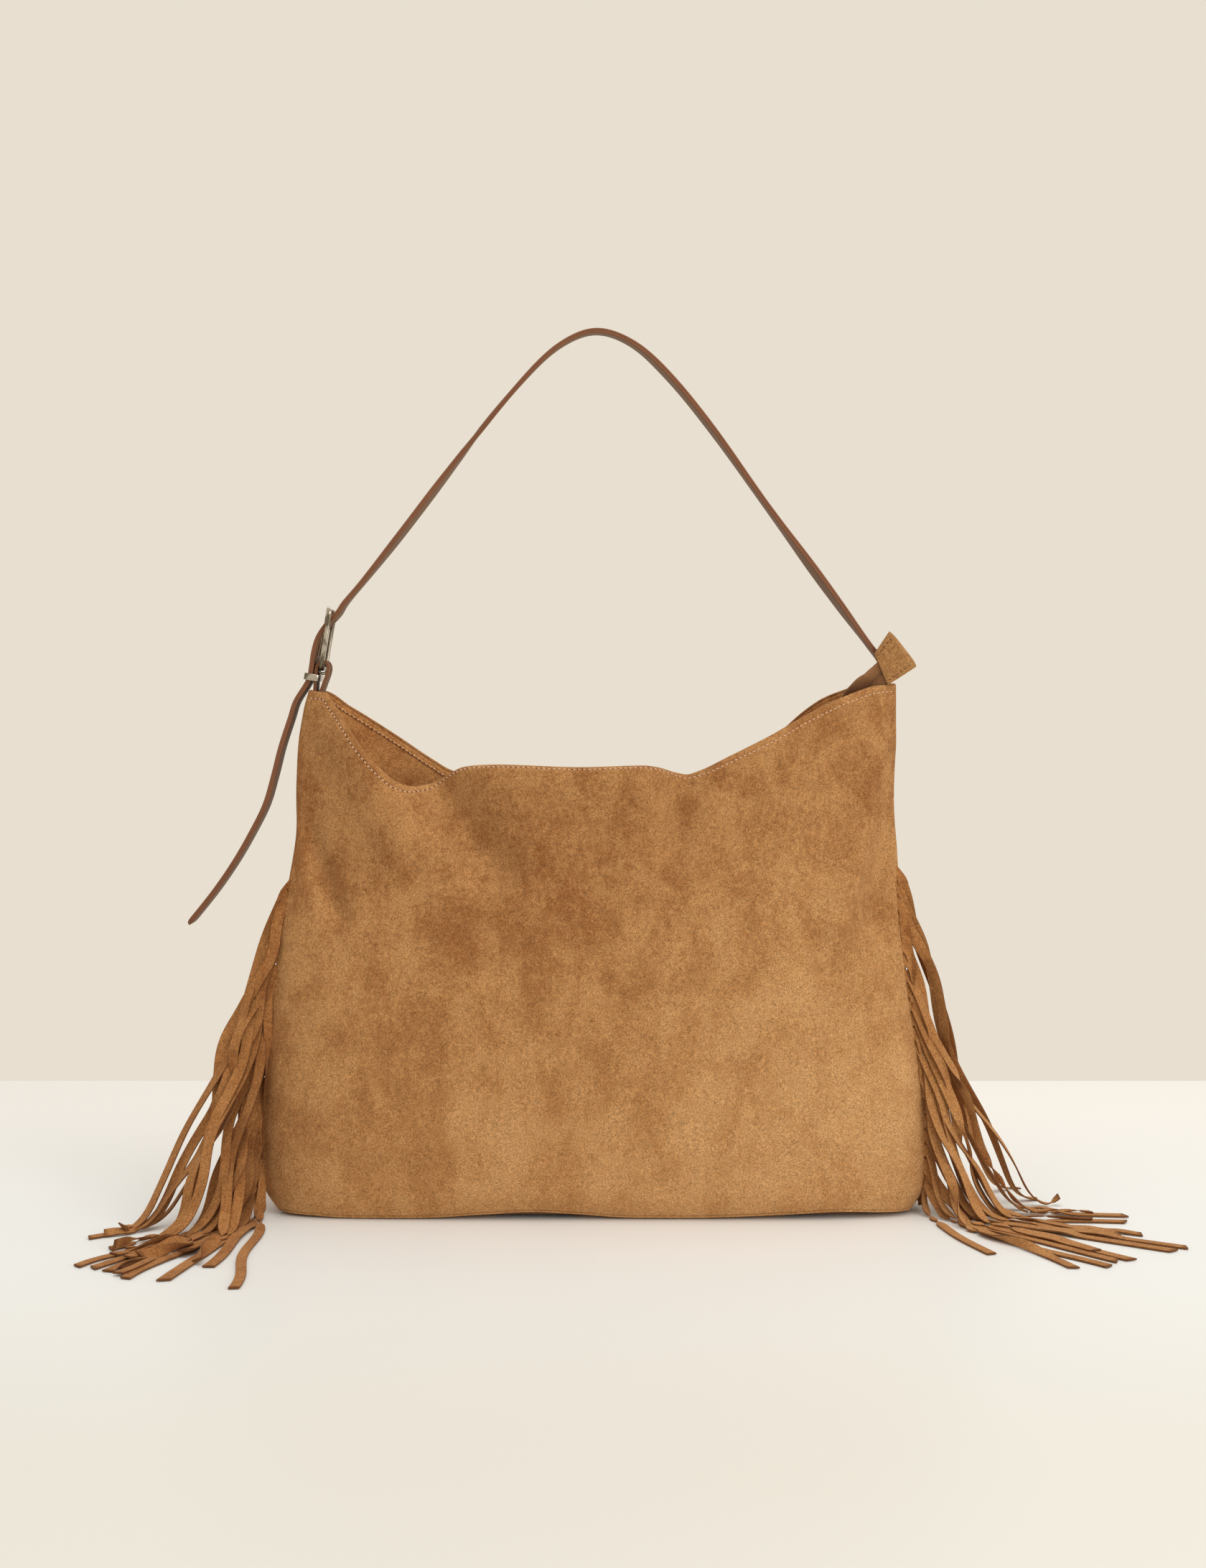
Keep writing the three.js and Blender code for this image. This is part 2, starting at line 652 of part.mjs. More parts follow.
// End tab: a square of suede folded over the joined tapes
function endTab() {
  const slot = coilHeight + 2 * seamGap;
  const outline = new THREE.Shape([
    new THREE.Vector2(-tabWidth / 2, 0),
    new THREE.Vector2(tabWidth / 2, 0),
    new THREE.Vector2(tabWidth / 2, tabLength),
    new THREE.Vector2(-tabWidth / 2, tabLength),
  ]);
  const thickness = slot + 2 * tabLeaf;
  const whole = new THREE.ExtrudeGeometry(outline, { depth: thickness, bevelEnabled: false });
  whole.translate(0, 0, -thickness / 2);
  return cut(whole, block(tabWidth * 2, 2 * (tabInsert + seamGap), slot, vec(0, 0, 0)));
}
const tabGroup = new THREE.Group();
const tabNormal = vec(0, 0, 0).crossVectors(tabAcross, tabAlong);
tabGroup.setRotationFromMatrix(new THREE.Matrix4().makeBasis(tabAcross, tabAlong, tabNormal));
tabGroup.position.copy(tabMouth);
bag.add(tabGroup);
add("zip_end_tab", endTab(), suede, tabGroup);

// Buckle: heel bar in the leather loop on the left peak, frame leaning in along the strap
const leftPeak = vec(-mouthHalfWidth + topLean, 0, peakHeight - leftPeakDrop);
const rightPeak = vec(mouthHalfWidth + topLean, 0, peakHeight);
const heel = vec(leftPeak.x + heelInset, 0, leftPeak.z + heelRise);
const frameAlong = vec(Math.sin(frameTilt), 0, Math.cos(frameTilt));
const frameOut = vec(-Math.cos(frameTilt), 0, Math.sin(frameTilt));
const onBuckle = (along, out) => heel.clone().addScaledVector(frameAlong, along).addScaledVector(frameOut, out);
const buckle = new THREE.Group();
buckle.position.copy(heel);
buckle.setRotationFromMatrix(new THREE.Matrix4().makeBasis(frameAlong, vec(0, 1, 0), frameOut));
bag.add(buckle);

// A rounded rectangle about the origin, as an outline or a hole
function roundedRectangle(path, x0, x1, y, r) {
  path.moveTo(x0 + r, -y);
  path.lineTo(x1 - r, -y);
  path.absarc(x1 - r, -y + r, r, -quarter, 0, false);
  path.lineTo(x1, y - r);
  path.absarc(x1 - r, y - r, r, 0, quarter, false);
  path.lineTo(x0 + r, y);
  path.absarc(x0 + r, y - r, r, quarter, 2 * quarter, false);
  path.lineTo(x0, -y + r);
  path.absarc(x0 + r, -y + r, r, 2 * quarter, 3 * quarter, false);
  return path;
}
function buckleFrame() {
  const windowHalf = strapWidth / 2 + 1;
  const bar = frameBar / 2;
  const outline = roundedRectangle(new THREE.Shape(), -bar, frameLength + bar, windowHalf + frameBar, frameBar);
  outline.holes.push(roundedRectangle(new THREE.Path(), bar, frameLength - bar, windowHalf, 1));
  const body = new THREE.ExtrudeGeometry(outline, { depth: frameThickness, bevelEnabled: false, curveSegments: 3 });
  return body.translate(0, 0, -frameThickness / 2);
}
add("buckle_frame", buckleFrame(), metal, buckle);

// Prong: an eye round the heel bar and a flat tongue that rests on the far bar
const eyeHole = Math.hypot(frameBar, frameThickness) / 2 + 0.15;
const prongOffset = frameThickness / 2 + prongSlack + prongThickness / 2;
const eyeOuter = prongOffset + prongThickness / 2;
function prong() {
  const eye = new THREE.Shape();
  eye.absarc(0, 0, eyeOuter, 0, 4 * quarter, false);
  const hole = new THREE.Path();
  hole.absarc(0, 0, eyeHole, 0, 4 * quarter, false);
  eye.holes.push(hole);
  const ring = new THREE.ExtrudeGeometry(eye, { depth: prongWidth, bevelEnabled: false, curveSegments: 10 });
  ring.translate(0, 0, -prongWidth / 2).rotateX(quarter);
  const reach = frameLength + frameBar;
  const tongue = block(reach, prongWidth, prongThickness, vec(reach / 2, 0, prongOffset));
  return joined(ring, tongue);
}
add("buckle_prong", prong(), metal, buckle);

// Leather loop: sewn inside the left gusset, up round the heel bar and down again, slotted for the prong
function insideGusset(side, z, away) {
  return wallPoint(-1, side, 0, z, panelThickness).x - side * away;
}
function ribbon(points, width, thickness, steps, twist = () => 0) {
  const route = new THREE.CatmullRomCurve3(points, false, "centripetal");
  const grid = [];
  for (let k = 0; k <= steps; k++) {
    const p = route.getPointAt(k / steps);
    const ahead = route.getTangentAt(k / steps);
    const wide = vec(0, width / 2, 0).applyAxisAngle(ahead, twist(k / steps));
    grid.push([p.clone().sub(wide), p.clone().add(wide)]);
  }
  return sheetSolid(grid, thickness);
}
const loopInner = eyeHole + 0.1;
const loopMiddle = loopInner + loopThickness / 2;
function buckleLoop() {
  const foot = leftPeak.z - anchorDepth;
  const wallGap = anchorGap + loopThickness / 2;
  const legGap = wallGap + loopThickness + seamGap;
  const points = [
    vec(insideGusset(-1, foot, wallGap), 0, foot),
    vec(insideGusset(-1, leftPeak.z - 8, wallGap), 0, leftPeak.z - 8),
    onBuckle(-9, loopMiddle * 0.8),
    onBuckle(-2, loopMiddle),
  ];
  for (let k = 1; k <= 3; k++) {
    const turn = (Math.PI * k) / 4;
    points.push(onBuckle(loopMiddle * Math.sin(turn), loopMiddle * Math.cos(turn)));
  }
  points.push(
    onBuckle(-2, -loopMiddle),
    onBuckle(-8, -loopMiddle * 0.9),
    vec(insideGusset(-1, leftPeak.z - 8, legGap), 0, leftPeak.z - 8),
    vec(insideGusset(-1, foot, legGap), 0, foot),
  );
  const slotWidth = prongWidth + 2 * prongSlack + 0.4;
  const slot = new THREE.BoxGeometry(3 * eyeOuter, slotWidth, 4 * eyeOuter);
  slot.translate(eyeOuter * 0.5, 0, 0).applyMatrix4(buckleMatrix);
  return cut(ribbon(points, loopWidth, loopThickness, 38), slot);
}
buckle.updateMatrix();
const buckleMatrix = buckle.matrix.clone();
add("buckle_loop", buckleLoop(), strapLeather);

// Strap: right anchor, arch over the crest, through the buckle, under the keeper and out to the free tail
const strapOverLoop = loopInner + loopThickness + seamGap + strapThickness / 2;
const strapUnderBar = -(frameThickness / 2 + seamGap + strapThickness / 2);
const buckleEntry = onBuckle(frameLength, strapUnderBar - 1.1);
const crest = vec(crestX, 0, crestHeight);
const rightEntry = rightPeak.clone().add(vec(-15.2, 0, 23.7));
const rightArch = [[0.078, 0.091], [0.233, 0.274], [0.387, 0.456], [0.535, 0.637], [0.614, 0.728], [0.699, 0.819],
  [0.796, 0.908], [0.857, 0.953]];
const leftArch = [[0.857, 0.946], [0.789, 0.894], [0.683, 0.79], [0.586, 0.686], [0.408, 0.476], [0.232, 0.267],
  [0.1, 0.117]];
const tailOffsets = [[-8.9, -7.5], [-12.2, -17.5], [-18.2, -35.6], [-22.9, -53.7], [-28.4, -72], [-37.4, -90],
  [-48, -108.2], [-60.6, -126.4], [-77.8, -147.9]];
const archPoint = (from) => ([across, up]) => vec(lerp(from.x, crest.x, across), 0, lerp(from.z, crest.z, up));
function strapRoute() {
  const wallGap = anchorGap + strapThickness / 2;
  const anchor = (z) => vec(insideGusset(1, z, wallGap), 0, z);
  return [
    anchor(rightPeak.z - anchorDepth),
    anchor(rightPeak.z - anchorDepth / 2),
    anchor(rightPeak.z),
    rightPeak.clone().add(vec(-7, 0, 12.5)),
    rightEntry,
    ...rightArch.map(archPoint(rightEntry)),
    crest,
    ...leftArch.map(archPoint(buckleEntry)),
    onBuckle(frameLength + 6, strapUnderBar - 3.6),
    buckleEntry,
    onBuckle(27, 1.6),
    onBuckle(19, 5.2),
    onBuckle(10, strapOverLoop + 0.4),
    onBuckle(0, strapOverLoop + 0.3),
    onBuckle(-8, strapOverLoop + 0.6),
    ...tailOffsets.map(([x, z]) => leftPeak.clone().add(vec(x, 0, z))),
  ];
}
function strap() {
  const lift = degToRad(9);
  const twist = (share) => -lift * smoothstep(share, 0.04, 0.12) * (1 - smoothstep(share, 0.3, 0.45));
  const whole = ribbon(strapRoute(), strapWidth, strapThickness, 72, twist);
  const slot = new THREE.BoxGeometry(slotTo - slotFrom, prongWidth + 4 * prongSlack, 6 * prongOffset);
  slot.translate((slotFrom + slotTo) / 2, 0, 1.8 * prongOffset).applyMatrix4(buckleMatrix);
  return cut(whole, slot);
}
add("shoulder_strap", strap(), strapLeather);

// Keeper: a flat metal band round the tail and the loop's outer leg
function keeper() {
  const outerFace = strapOverLoop + strapThickness / 2 + 0.6 + keeperSlack;
  const innerFace = loopInner - 2 * keeperSlack;
  const halfY = strapWidth / 2 + keeperSlack;
  const middle = (outerFace + innerFace) / 2;
  const depth = outerFace - innerFace;
  const band = block(keeperHeight, 2 * (halfY + keeperThickness), depth + 2 * keeperThickness, vec(0, 0, 0));
  const inside = block(keeperHeight * 2, 2 * halfY, depth, vec(0, 0, 0));
  return cut(band, inside).translate(-6.4, 0, middle);
}
add("strap_keeper", keeper(), metal, buckle);

export default bag;
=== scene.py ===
import math

import bmesh
import bpy
import numpy as np
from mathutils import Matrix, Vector


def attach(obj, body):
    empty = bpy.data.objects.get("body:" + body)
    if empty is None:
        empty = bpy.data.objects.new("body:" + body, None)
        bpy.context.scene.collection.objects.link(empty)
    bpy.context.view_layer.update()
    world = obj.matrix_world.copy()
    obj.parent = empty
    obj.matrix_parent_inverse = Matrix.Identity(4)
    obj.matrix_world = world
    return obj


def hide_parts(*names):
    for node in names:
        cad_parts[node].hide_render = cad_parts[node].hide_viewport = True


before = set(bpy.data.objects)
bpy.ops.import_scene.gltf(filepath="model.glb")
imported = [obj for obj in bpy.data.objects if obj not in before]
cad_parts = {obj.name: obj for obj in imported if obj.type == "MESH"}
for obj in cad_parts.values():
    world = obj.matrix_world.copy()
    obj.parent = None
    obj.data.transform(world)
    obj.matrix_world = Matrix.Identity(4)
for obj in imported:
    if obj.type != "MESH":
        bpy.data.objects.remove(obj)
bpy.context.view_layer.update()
print("frame loaded:", len(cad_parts), "nodes")



def feed(tree, socket, value):  # a link from another node's socket, or a plain value
    if isinstance(value, bpy.types.NodeSocket):
        tree.links.new(value, socket)
    else:
        socket.default_value = value


def addNode(tree, kind, settings=None, inputs=None):
    made = tree.nodes.new(kind)
    for key, value in (settings or {}).items():
        setattr(made, key, value)
    for key, value in (inputs or {}).items():
        feed(tree, made.inputs[key], value)
    return made


# shader maths: a Wire is one output socket, and arithmetic on it adds Math nodes
class Wire:
    def __init__(self, paint, socket):
        self.paint = paint
        self.socket = socket

    def maths(self, operation, first, second=0.0):
        return self.paint.node("ShaderNodeMath", {"operation": operation}, {0: first, 1: second})

    def __add__(self, other):
        return self.maths("ADD", self, other)

    __radd__ = __add__

    def __sub__(self, other):
        return self.maths("SUBTRACT", self, other)

    def __rsub__(self, other):
        return self.maths("SUBTRACT", other, self)

    def __mul__(self, other):
        return self.maths("MULTIPLY", self, other)

    def wave(self):
        return self.maths("SINE", self)

    def sign(self):
        return self.maths("SIGN", self)

    def stripes(self, pitch):  # 0 to 1 and back in each pitch
        return (self * (2 * math.pi / pitch)).wave() * 0.5 + 0.5

    def over(self, low, high):  # 0 below low, 1 above high, smooth between
        return self.paint.node(
            "ShaderNodeMapRange",
            {"interpolation_type": "SMOOTHSTEP"},
            {"Value": self, "From Min": low, "From Max": high},
        )


class Paint:
    def __init__(self, name):
        self.material = bpy.data.materials.new(name)
        self.material.use_nodes = True
        self.tree = self.material.node_tree
        self.shader = self.tree.nodes["Principled BSDF"]

    def node(self, kind, settings=None, inputs=None, out=0):
        plain = {key: getattr(value, "socket", value) for key, value in (inputs or {}).items()}
        return Wire(self, addNode(self.tree, kind, settings, plain).outputs[out])

    def set(self, **values):
        for key, value in values.items():
            feed(self.tree, self.shader.inputs[key.replace("_", " ")], getattr(value, "socket", value))

    def place(self, scale=(1, 1, 1), turn=(0, 0, 0)):
        spot = self.node("ShaderNodeTexCoord", out="Object")
        return self.node("ShaderNodeMapping", None, {"Vector": spot, "Scale": scale, "Rotation": turn})

    def part(self, spot, axis):
        return self.node("ShaderNodeSeparateXYZ", None, {0: spot}, out="xyz".index(axis))

    def noise(self, spot, scale, detail=2.0, rough=0.5, bend=0.0):
        inputs = {"Vector": spot, "Scale": scale, "Detail": detail, "Roughness": rough, "Distortion": bend}
        return self.node("ShaderNodeTexNoise", None, inputs, "Fac")

    def mix(self, share, first, second, blend="MIX"):
        settings = {"data_type": "RGBA", "blend_type": blend}
        return self.node("ShaderNodeMix", settings, {0: share, 6: first, 7: second}, out=2)

    def ramp(self, share, stops):
        made = self.node("ShaderNodeValToRGB", None, {"Fac": share}, "Color")
        elements = made.socket.node.color_ramp.elements
        while len(elements) < len(stops):
            elements.new(0.5)
        for element, (place, colour) in zip(elements, stops):
            element.position = place
            element.color = colour
        return made

    def attribute(self, name):
        return self.node("ShaderNodeAttribute", {"attribute_name": name}, out="Fac")

    def bump(self, height, strength, depth):
        inputs = {"Height": height, "Strength": strength, "Distance": depth}
        return self.node("ShaderNodeBump", None, inputs)


def tone(red, green, blue):  # a colour as it reads on screen, 0 to 255
    def linear(value):
        value = value / 255
        return value / 12.92 if value <= 0.04045 else ((value + 0.055) / 1.055) ** 2.4

    return (linear(red), linear(green), linear(blue), 1.0)


# suede: soft clouds and rubbed smudges under a fine speckle, darker where it is cut, with painted light:
# paler towards the foot and on the right side
suedeLook = {
    "deep": (132, 78, 37),
    "middle": (178, 128, 78),
    "pale": (203, 156, 104),
    "cut": (98, 58, 30),
    "cloudScale": 6.6,
    "smudgeScale": 26.0,
    "streakScale": 58.0,
    "speckScale": 320.0,
    "grainScale": 1100.0,
    "patchEdge": (0.39, 0.59),
}


def suedePaint(name, shade=1.0, cut=False):
    look = suedeLook
    paint = Paint(name)
    spot = paint.place()
    brushed = paint.place((1.0, 1.0, 0.45), (0, math.radians(14), 0))
    cloud = paint.noise(spot, look["cloudScale"], 3, 0.5, 0.5)
    smudge = paint.noise(spot, look["smudgeScale"], 9, 0.66, 0.5)
    streak = paint.noise(brushed, look["streakScale"], 7, 0.66, 0.5)
    speck = paint.noise(spot, look["speckScale"], 3, 0.65)
    grain = paint.noise(spot, look["grainScale"], 3, 0.7)
    low = 1 - paint.part(spot, "z").over(0.02, 0.27)  # painted light: paler towards the foot for the floor's bounce light, and paler on the right side where the lamp falls
    right = paint.part(spot, "x").over(-0.2, 0.2)
    # rubbed patches with ragged edges, broken up by the specks
    patch = cloud * 0.1 + smudge * 0.5 + streak * 0.4 + (speck - 0.5) * 0.16
    rubbed = patch.over(*look["patchEdge"])
    # the tone: random mottling plus the painted light at the foot and on the right side
    napAndLight = rubbed * 0.32 + (cloud - 0.5) * 0.36 + 0.09 + low * 0.28 + right * 0.12 + (speck - 0.5) * 0.3
    deep, middle, pale = (tone(*np.multiply(look[key], shade)) for key in ("deep", "middle", "pale"))
    colour = paint.ramp(napAndLight, [(0.0, deep), (0.5, middle), (1.0, pale)])
    colour = paint.mix(1.0, colour, (grain - 0.5) * 2.5 + 1.0, "MULTIPLY")
    if cut:
        colour = paint.mix(paint.attribute("cutEdge") * 0.85, colour, tone(*look["cut"]))
    fine = paint.bump(grain * 0.7 + speck * 0.5, 0.35, 0.0005)
    paint.set(Base_Color=colour, Normal=fine, Roughness=0.95 - napAndLight * 0.05)
    paint.set(Specular_IOR_Level=0.12, Sheen_Weight=0.1, Sheen_Roughness=0.5)
    paint.set(Sheen_Tint=tone(255, 226, 190))
    return paint.material


# smooth strap leather with a fine grain
strapLook = {
    "deep": (96, 54, 31),
    "middle": (120, 74, 45),
    "pale": (142, 94, 61),
    "edge": (129, 82, 53),
    "fleshDeep": (98, 64, 36),
    "fleshPale": (128, 89, 53),
    "patchScale": 34.0,
    "poreScale": 900.0,
    "creaseScale": 260.0,
}


def leatherPaint(name):
    look = strapLook
    paint = Paint(name)
    spot = paint.place()
    patch = paint.noise(spot, look["patchScale"], 5, 0.6, 0.4)
    cell = {"Vector": spot, "Scale": look["poreScale"]}
    pore = paint.node("ShaderNodeTexVoronoi", {"feature": "DISTANCE_TO_EDGE"}, cell)
    crease = paint.noise(spot, look["creaseScale"], 3, 0.6, 0.6)
    stops = ((0.3, "deep"), (0.5, "middle"), (0.72, "pale"))
    shades = [(place, tone(*look[key])) for place, key in stops]
    colour = paint.ramp(patch * 0.75 + crease * 0.25, shades)
    flesh = paint.mix(patch * 0.4 + crease * 0.6, tone(*look["fleshDeep"]), tone(*look["fleshPale"]))
    colour = paint.mix(paint.attribute("flesh"), colour, flesh)
    colour = paint.mix(paint.attribute("cutEdge") * 0.7, colour, tone(*look["edge"]))
    skin = paint.bump(pore.over(0.0, 0.25) * 0.5 + crease * 0.5, 0.1, 0.0003)
    paint.set(Base_Color=colour, Normal=skin, Roughness=0.5 + patch * 0.18)
    paint.set(Specular_IOR_Level=0.32)
    return paint.material


# pale gold hardware, lightly brushed, with dark patches painted in as reflections
metalLook = {
    "bright": (190, 181, 166),
    "darkReflection": (112, 102, 84),
    "brushScale": 1400.0,
    "smudgeScale": 110.0,
}


def metalPaint(name):
    look = metalLook
    paint = Paint(name)
    brushed = paint.noise(paint.place((1.0, 0.06, 1.0)), look["brushScale"], 3, 0.6)
    smudge = paint.noise(paint.place(), look["smudgeScale"], 1, 0.5, 0.8)
    # dark patches: painted reflection of a darker surround
    colour = paint.mix(smudge.over(0.4, 0.62), tone(*look["bright"]), tone(*look["darkReflection"]))
    scratch = paint.bump(brushed, 0.08, 0.0002)
    paint.set(Base_Color=colour, Metallic=1.0, Roughness=0.16 + smudge * 0.14, Normal=scratch)
    return paint.material


# woven tape: herringbone on the tape's own map, in metres across and along
tapeLook = {
    "deep": (92, 58, 32),
    "pale": (170, 118, 72),
    "band": 0.0032,
    "rib": 0.0011,
    "threadScale": 900.0,
}


def tapePaint(name):
    look = tapeLook
    paint = Paint(name)
    flat = paint.node("ShaderNodeUVMap", {"uv_map": "weave"})
    across, along = paint.part(flat, "x"), paint.part(flat, "y")
    band = (across * (math.pi / look["band"])).wave().sign()
    rib = (along + band * across).stripes(look["rib"])
    thread = paint.noise(paint.place(), look["threadScale"], 3, 0.6)
    colour = paint.mix(rib * 0.7 + thread * 0.3, tone(*look["deep"]), tone(*look["pale"]))
    paint.set(Base_Color=colour, Roughness=0.8, Normal=paint.bump(rib, 0.5, 0.0003))
    paint.set(Sheen_Weight=0.15, Specular_IOR_Level=0.25)
    return paint.material


# lining: a plain brown twill
twillLook = {"deep": (84, 56, 36), "pale": (122, 86, 58), "pitch": 0.0014, "patchScale": 30.0}


def liningPaint(name):
    look = twillLook
    paint = Paint(name)
    spot = paint.place()
    x, y, z = (paint.part(spot, axis) for axis in "xyz")
    twill = (x + y + z).stripes(look["pitch"])
    patch = paint.noise(spot, look["patchScale"], 4, 0.6, 0.3)
    colour = paint.mix(twill * 0.6 + patch * 0.4, tone(*look["deep"]), tone(*look["pale"]))
    paint.set(Base_Color=colour, Roughness=0.72, Normal=paint.bump(twill, 0.4, 0.0003))
    paint.set(Sheen_Weight=0.1, Specular_IOR_Level=0.3)
    return paint.material


def threadPaint(name, colour):
    paint = Paint(name)
    ply = paint.noise(paint.place(), 1600.0, 2, 0.5)
    shade = paint.mix(ply, tone(*[c * 0.82 for c in colour]), tone(*colour))
    paint.set(Base_Color=shade, Roughness=0.7, Normal=paint.bump(ply, 0.4, 0.0002))
    paint.set(Specular_IOR_Level=0.3)
    return paint.material


paints = {
    "suede": suedePaint("suede_nap"),
    "strip": suedePaint("suede_strip", (0.91, 0.85, 0.78), cut=True),
    # the inside's suede is painted 1.21 times lighter: painted light that makes up for the shade inside the
    # bag
    "facing": suedePaint("suede_inside_lit", 1.21),
    "tab": suedePaint("suede_tab", 0.92),
    "leather": leatherPaint("strap_leather"),
    "metal": metalPaint("pale_gold_metal"),
    "tape": tapePaint("zip_tape_weave"),
    "coil": threadPaint("zip_coil_nylon", (132, 92, 58)),
    "lining": liningPaint("lining_twill"),
    # needle holes: a dark colour painted as the shade in the holes
    "hole": threadPaint("needle_hole_shade", (96, 56, 30)),
    "thread": threadPaint("topstitch_thread", (230, 184, 144)),
    "tabThread": threadPaint("tab_thread", (120, 76, 42)),
}
print("materials made:", len(paints))


# mesh helpers: points come in millimetres and become metres
def solidMesh(name, points, faces):
    mesh = bpy.data.meshes.new(name)
    mesh.from_pydata((np.asarray(points, float).reshape(-1, 3) * 0.001).tolist(), [], faces)
    mesh.validate()
    shape = bmesh.new()
    shape.from_mesh(mesh)
    bmesh.ops.remove_doubles(shape, verts=shape.verts, dist=1e-6)
    bmesh.ops.recalc_face_normals(shape, faces=shape.faces)
    shape.to_mesh(mesh)
    shape.free()
    return mesh


def put(name, data):
    made = bpy.data.objects.new(name, data)
    bpy.context.scene.collection.objects.link(made)
    return made


def dress(made, paint, body="bag", standsFor=(), slot=None, smooth=38):
    made.data.materials.clear()
    made.data.materials.append(paints[paint])
    made.data.shade_smooth()
    made.data.set_sharp_from_angle(angle=math.radians(smooth))
    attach(made, body)
    if standsFor:
        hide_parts(*standsFor)
    return made


def piece(name, points, faces, paint, body="bag", standsFor=(), slot=None, smooth=38):
    return dress(put(name, solidMesh(name, points, faces)), paint, body, standsFor, slot, smooth)


def suedePiece(name, sheet, paint="suede"):
    return piece(f"{name}_suede", *sheet, paint, standsFor=[name], slot="suede")


def bakeModifiers(made):
    graph = bpy.context.evaluated_depsgraph_get()
    solid = bpy.data.meshes.new_from_object(made.evaluated_get(graph))
    made.modifiers.clear()
    made.data = solid


def mark(made, label, values):  # a value at each point for the paints to read
    layer = made.data.attributes.new(label, "FLOAT", "POINT")
    layer.data.foreach_set("value", np.asarray(values, np.float32).ravel()[: len(made.data.vertices)])


def quads(rows, cols, turnRows=False, turnCols=False):
    ends = [np.arange(size if turn else size - 1) for size, turn in ((rows, turnRows), (cols, turnCols))]
    i, j = (index.ravel() for index in np.meshgrid(*ends, indexing="ij"))
    below, beside = (i + 1) % rows, (j + 1) % cols
    corners = [i * cols + j, i * cols + beside, below * cols + beside, below * cols + j]
    return np.stack(corners, 1).tolist()


def tube(rings):  # a closed skin over a row of rings
    count, around = rings.shape[:2]
    ends = [tuple(range(around)), tuple((count - 1) * around + k for k in range(around - 1, -1, -1))]
    return rings.reshape(-1, 3), quads(count, around, turnCols=True) + ends


def joined(parts):  # several sets of points and faces as one
    starts = np.cumsum([0] + [len(points) for points, _ in parts]).tolist()
    faces = [tuple(start + k for k in face) for (_, made), start in zip(parts, starts) for face in made]
    return np.concatenate([points for points, _ in parts]), faces


# a closed sheet between two grids, its long edges given a half round of lipSteps points
def thickSheet(outer, inner, lipSteps=3):
    turns = np.linspace(0, math.pi, lipSteps + 2)[1:-1]

    def lip(first, second):  # the half round that joins two edge rows, bulging away from the sheet
        a, b = first[0], second[0]
        half = (a - b) / 2
        back = unit(a - first[1] + b - second[1]) * np.linalg.norm(half, axis=-1, keepdims=True)
        return [(a + b) / 2 + half * math.cos(turn) + back * math.sin(turn) for turn in turns]

    rows, cols = outer.shape[:2]
    loop = np.concatenate([outer, lip(outer[::-1], inner[::-1]), inner[::-1], lip(inner, outer)])
    count, last = len(loop), 2 * rows + lipSteps - 1
    faces = quads(count, cols, turnRows=True)
    for column in (0, cols - 1):  # close the two ends with a ladder of quads
        ladder = [(k * cols + column, (last - k) * cols + column) for k in range(rows)]
        faces += [(a, b, d, c) for (a, b), (c, d) in zip(ladder, ladder[1:])]
        for start in (rows - 1, last):
            faces.append(tuple(((start + k) % count) * cols + column for k in range(lipSteps + 2)))
    return loop.reshape(-1, 3), faces


def curveThrough(knots):  # smooth, and never past its knots
    x, y = np.array(knots, float).T
    step = np.diff(y) / np.diff(x)
    slope = np.concatenate([[step[0]], np.zeros(len(x) - 2), [step[-1]]])
    both = step[:-1] * step[1:]
    slope[1:-1] = np.where(both > 0, 2 * both / np.where(both > 0, step[:-1] + step[1:], 1), 0)

    def value(at):
        at = np.clip(at, x[0], x[-1])
        i = np.clip(np.searchsorted(x, at, side="right") - 1, 0, len(x) - 2)
        h = x[i + 1] - x[i]
        t = (at - x[i]) / h
        first = y[i] * (1 + 2 * t) * (1 - t) ** 2 + slope[i] * h * t * (1 - t) ** 2
        return first + y[i + 1] * t * t * (3 - 2 * t) + slope[i + 1] * h * t * t * (t - 1)

    return value


def smooth(at, low, high):
    t = np.clip((at - low) / (high - low), 0, 1)
    return t * t * (3 - 2 * t)


def lerp(a, b, t):
    return a + (b - a) * t


def unit(vectors):
    return vectors / np.maximum(np.linalg.norm(vectors, axis=-1, keepdims=True), 1e-9)


def signs(values):
    return np.where(np.asarray(values) < 0, -1.0, 1.0)


def squared(wide, ahead):  # the part of wide that is square to ahead
    return unit(wide - ahead * np.sum(wide * ahead, 1, keepdims=True))


def faceOf(grid):  # which way a grid of points faces
    return unit(np.cross(np.gradient(grid, axis=0), np.gradient(grid, axis=1)))


def runAlong(line):  # the distance of each point along its line
    return np.concatenate([[0], np.cumsum(np.linalg.norm(np.diff(line, axis=0), axis=1))])


def sampled(line, run, at):
    return np.stack([np.interp(at, run, line[:, k]) for k in range(3)], 1)


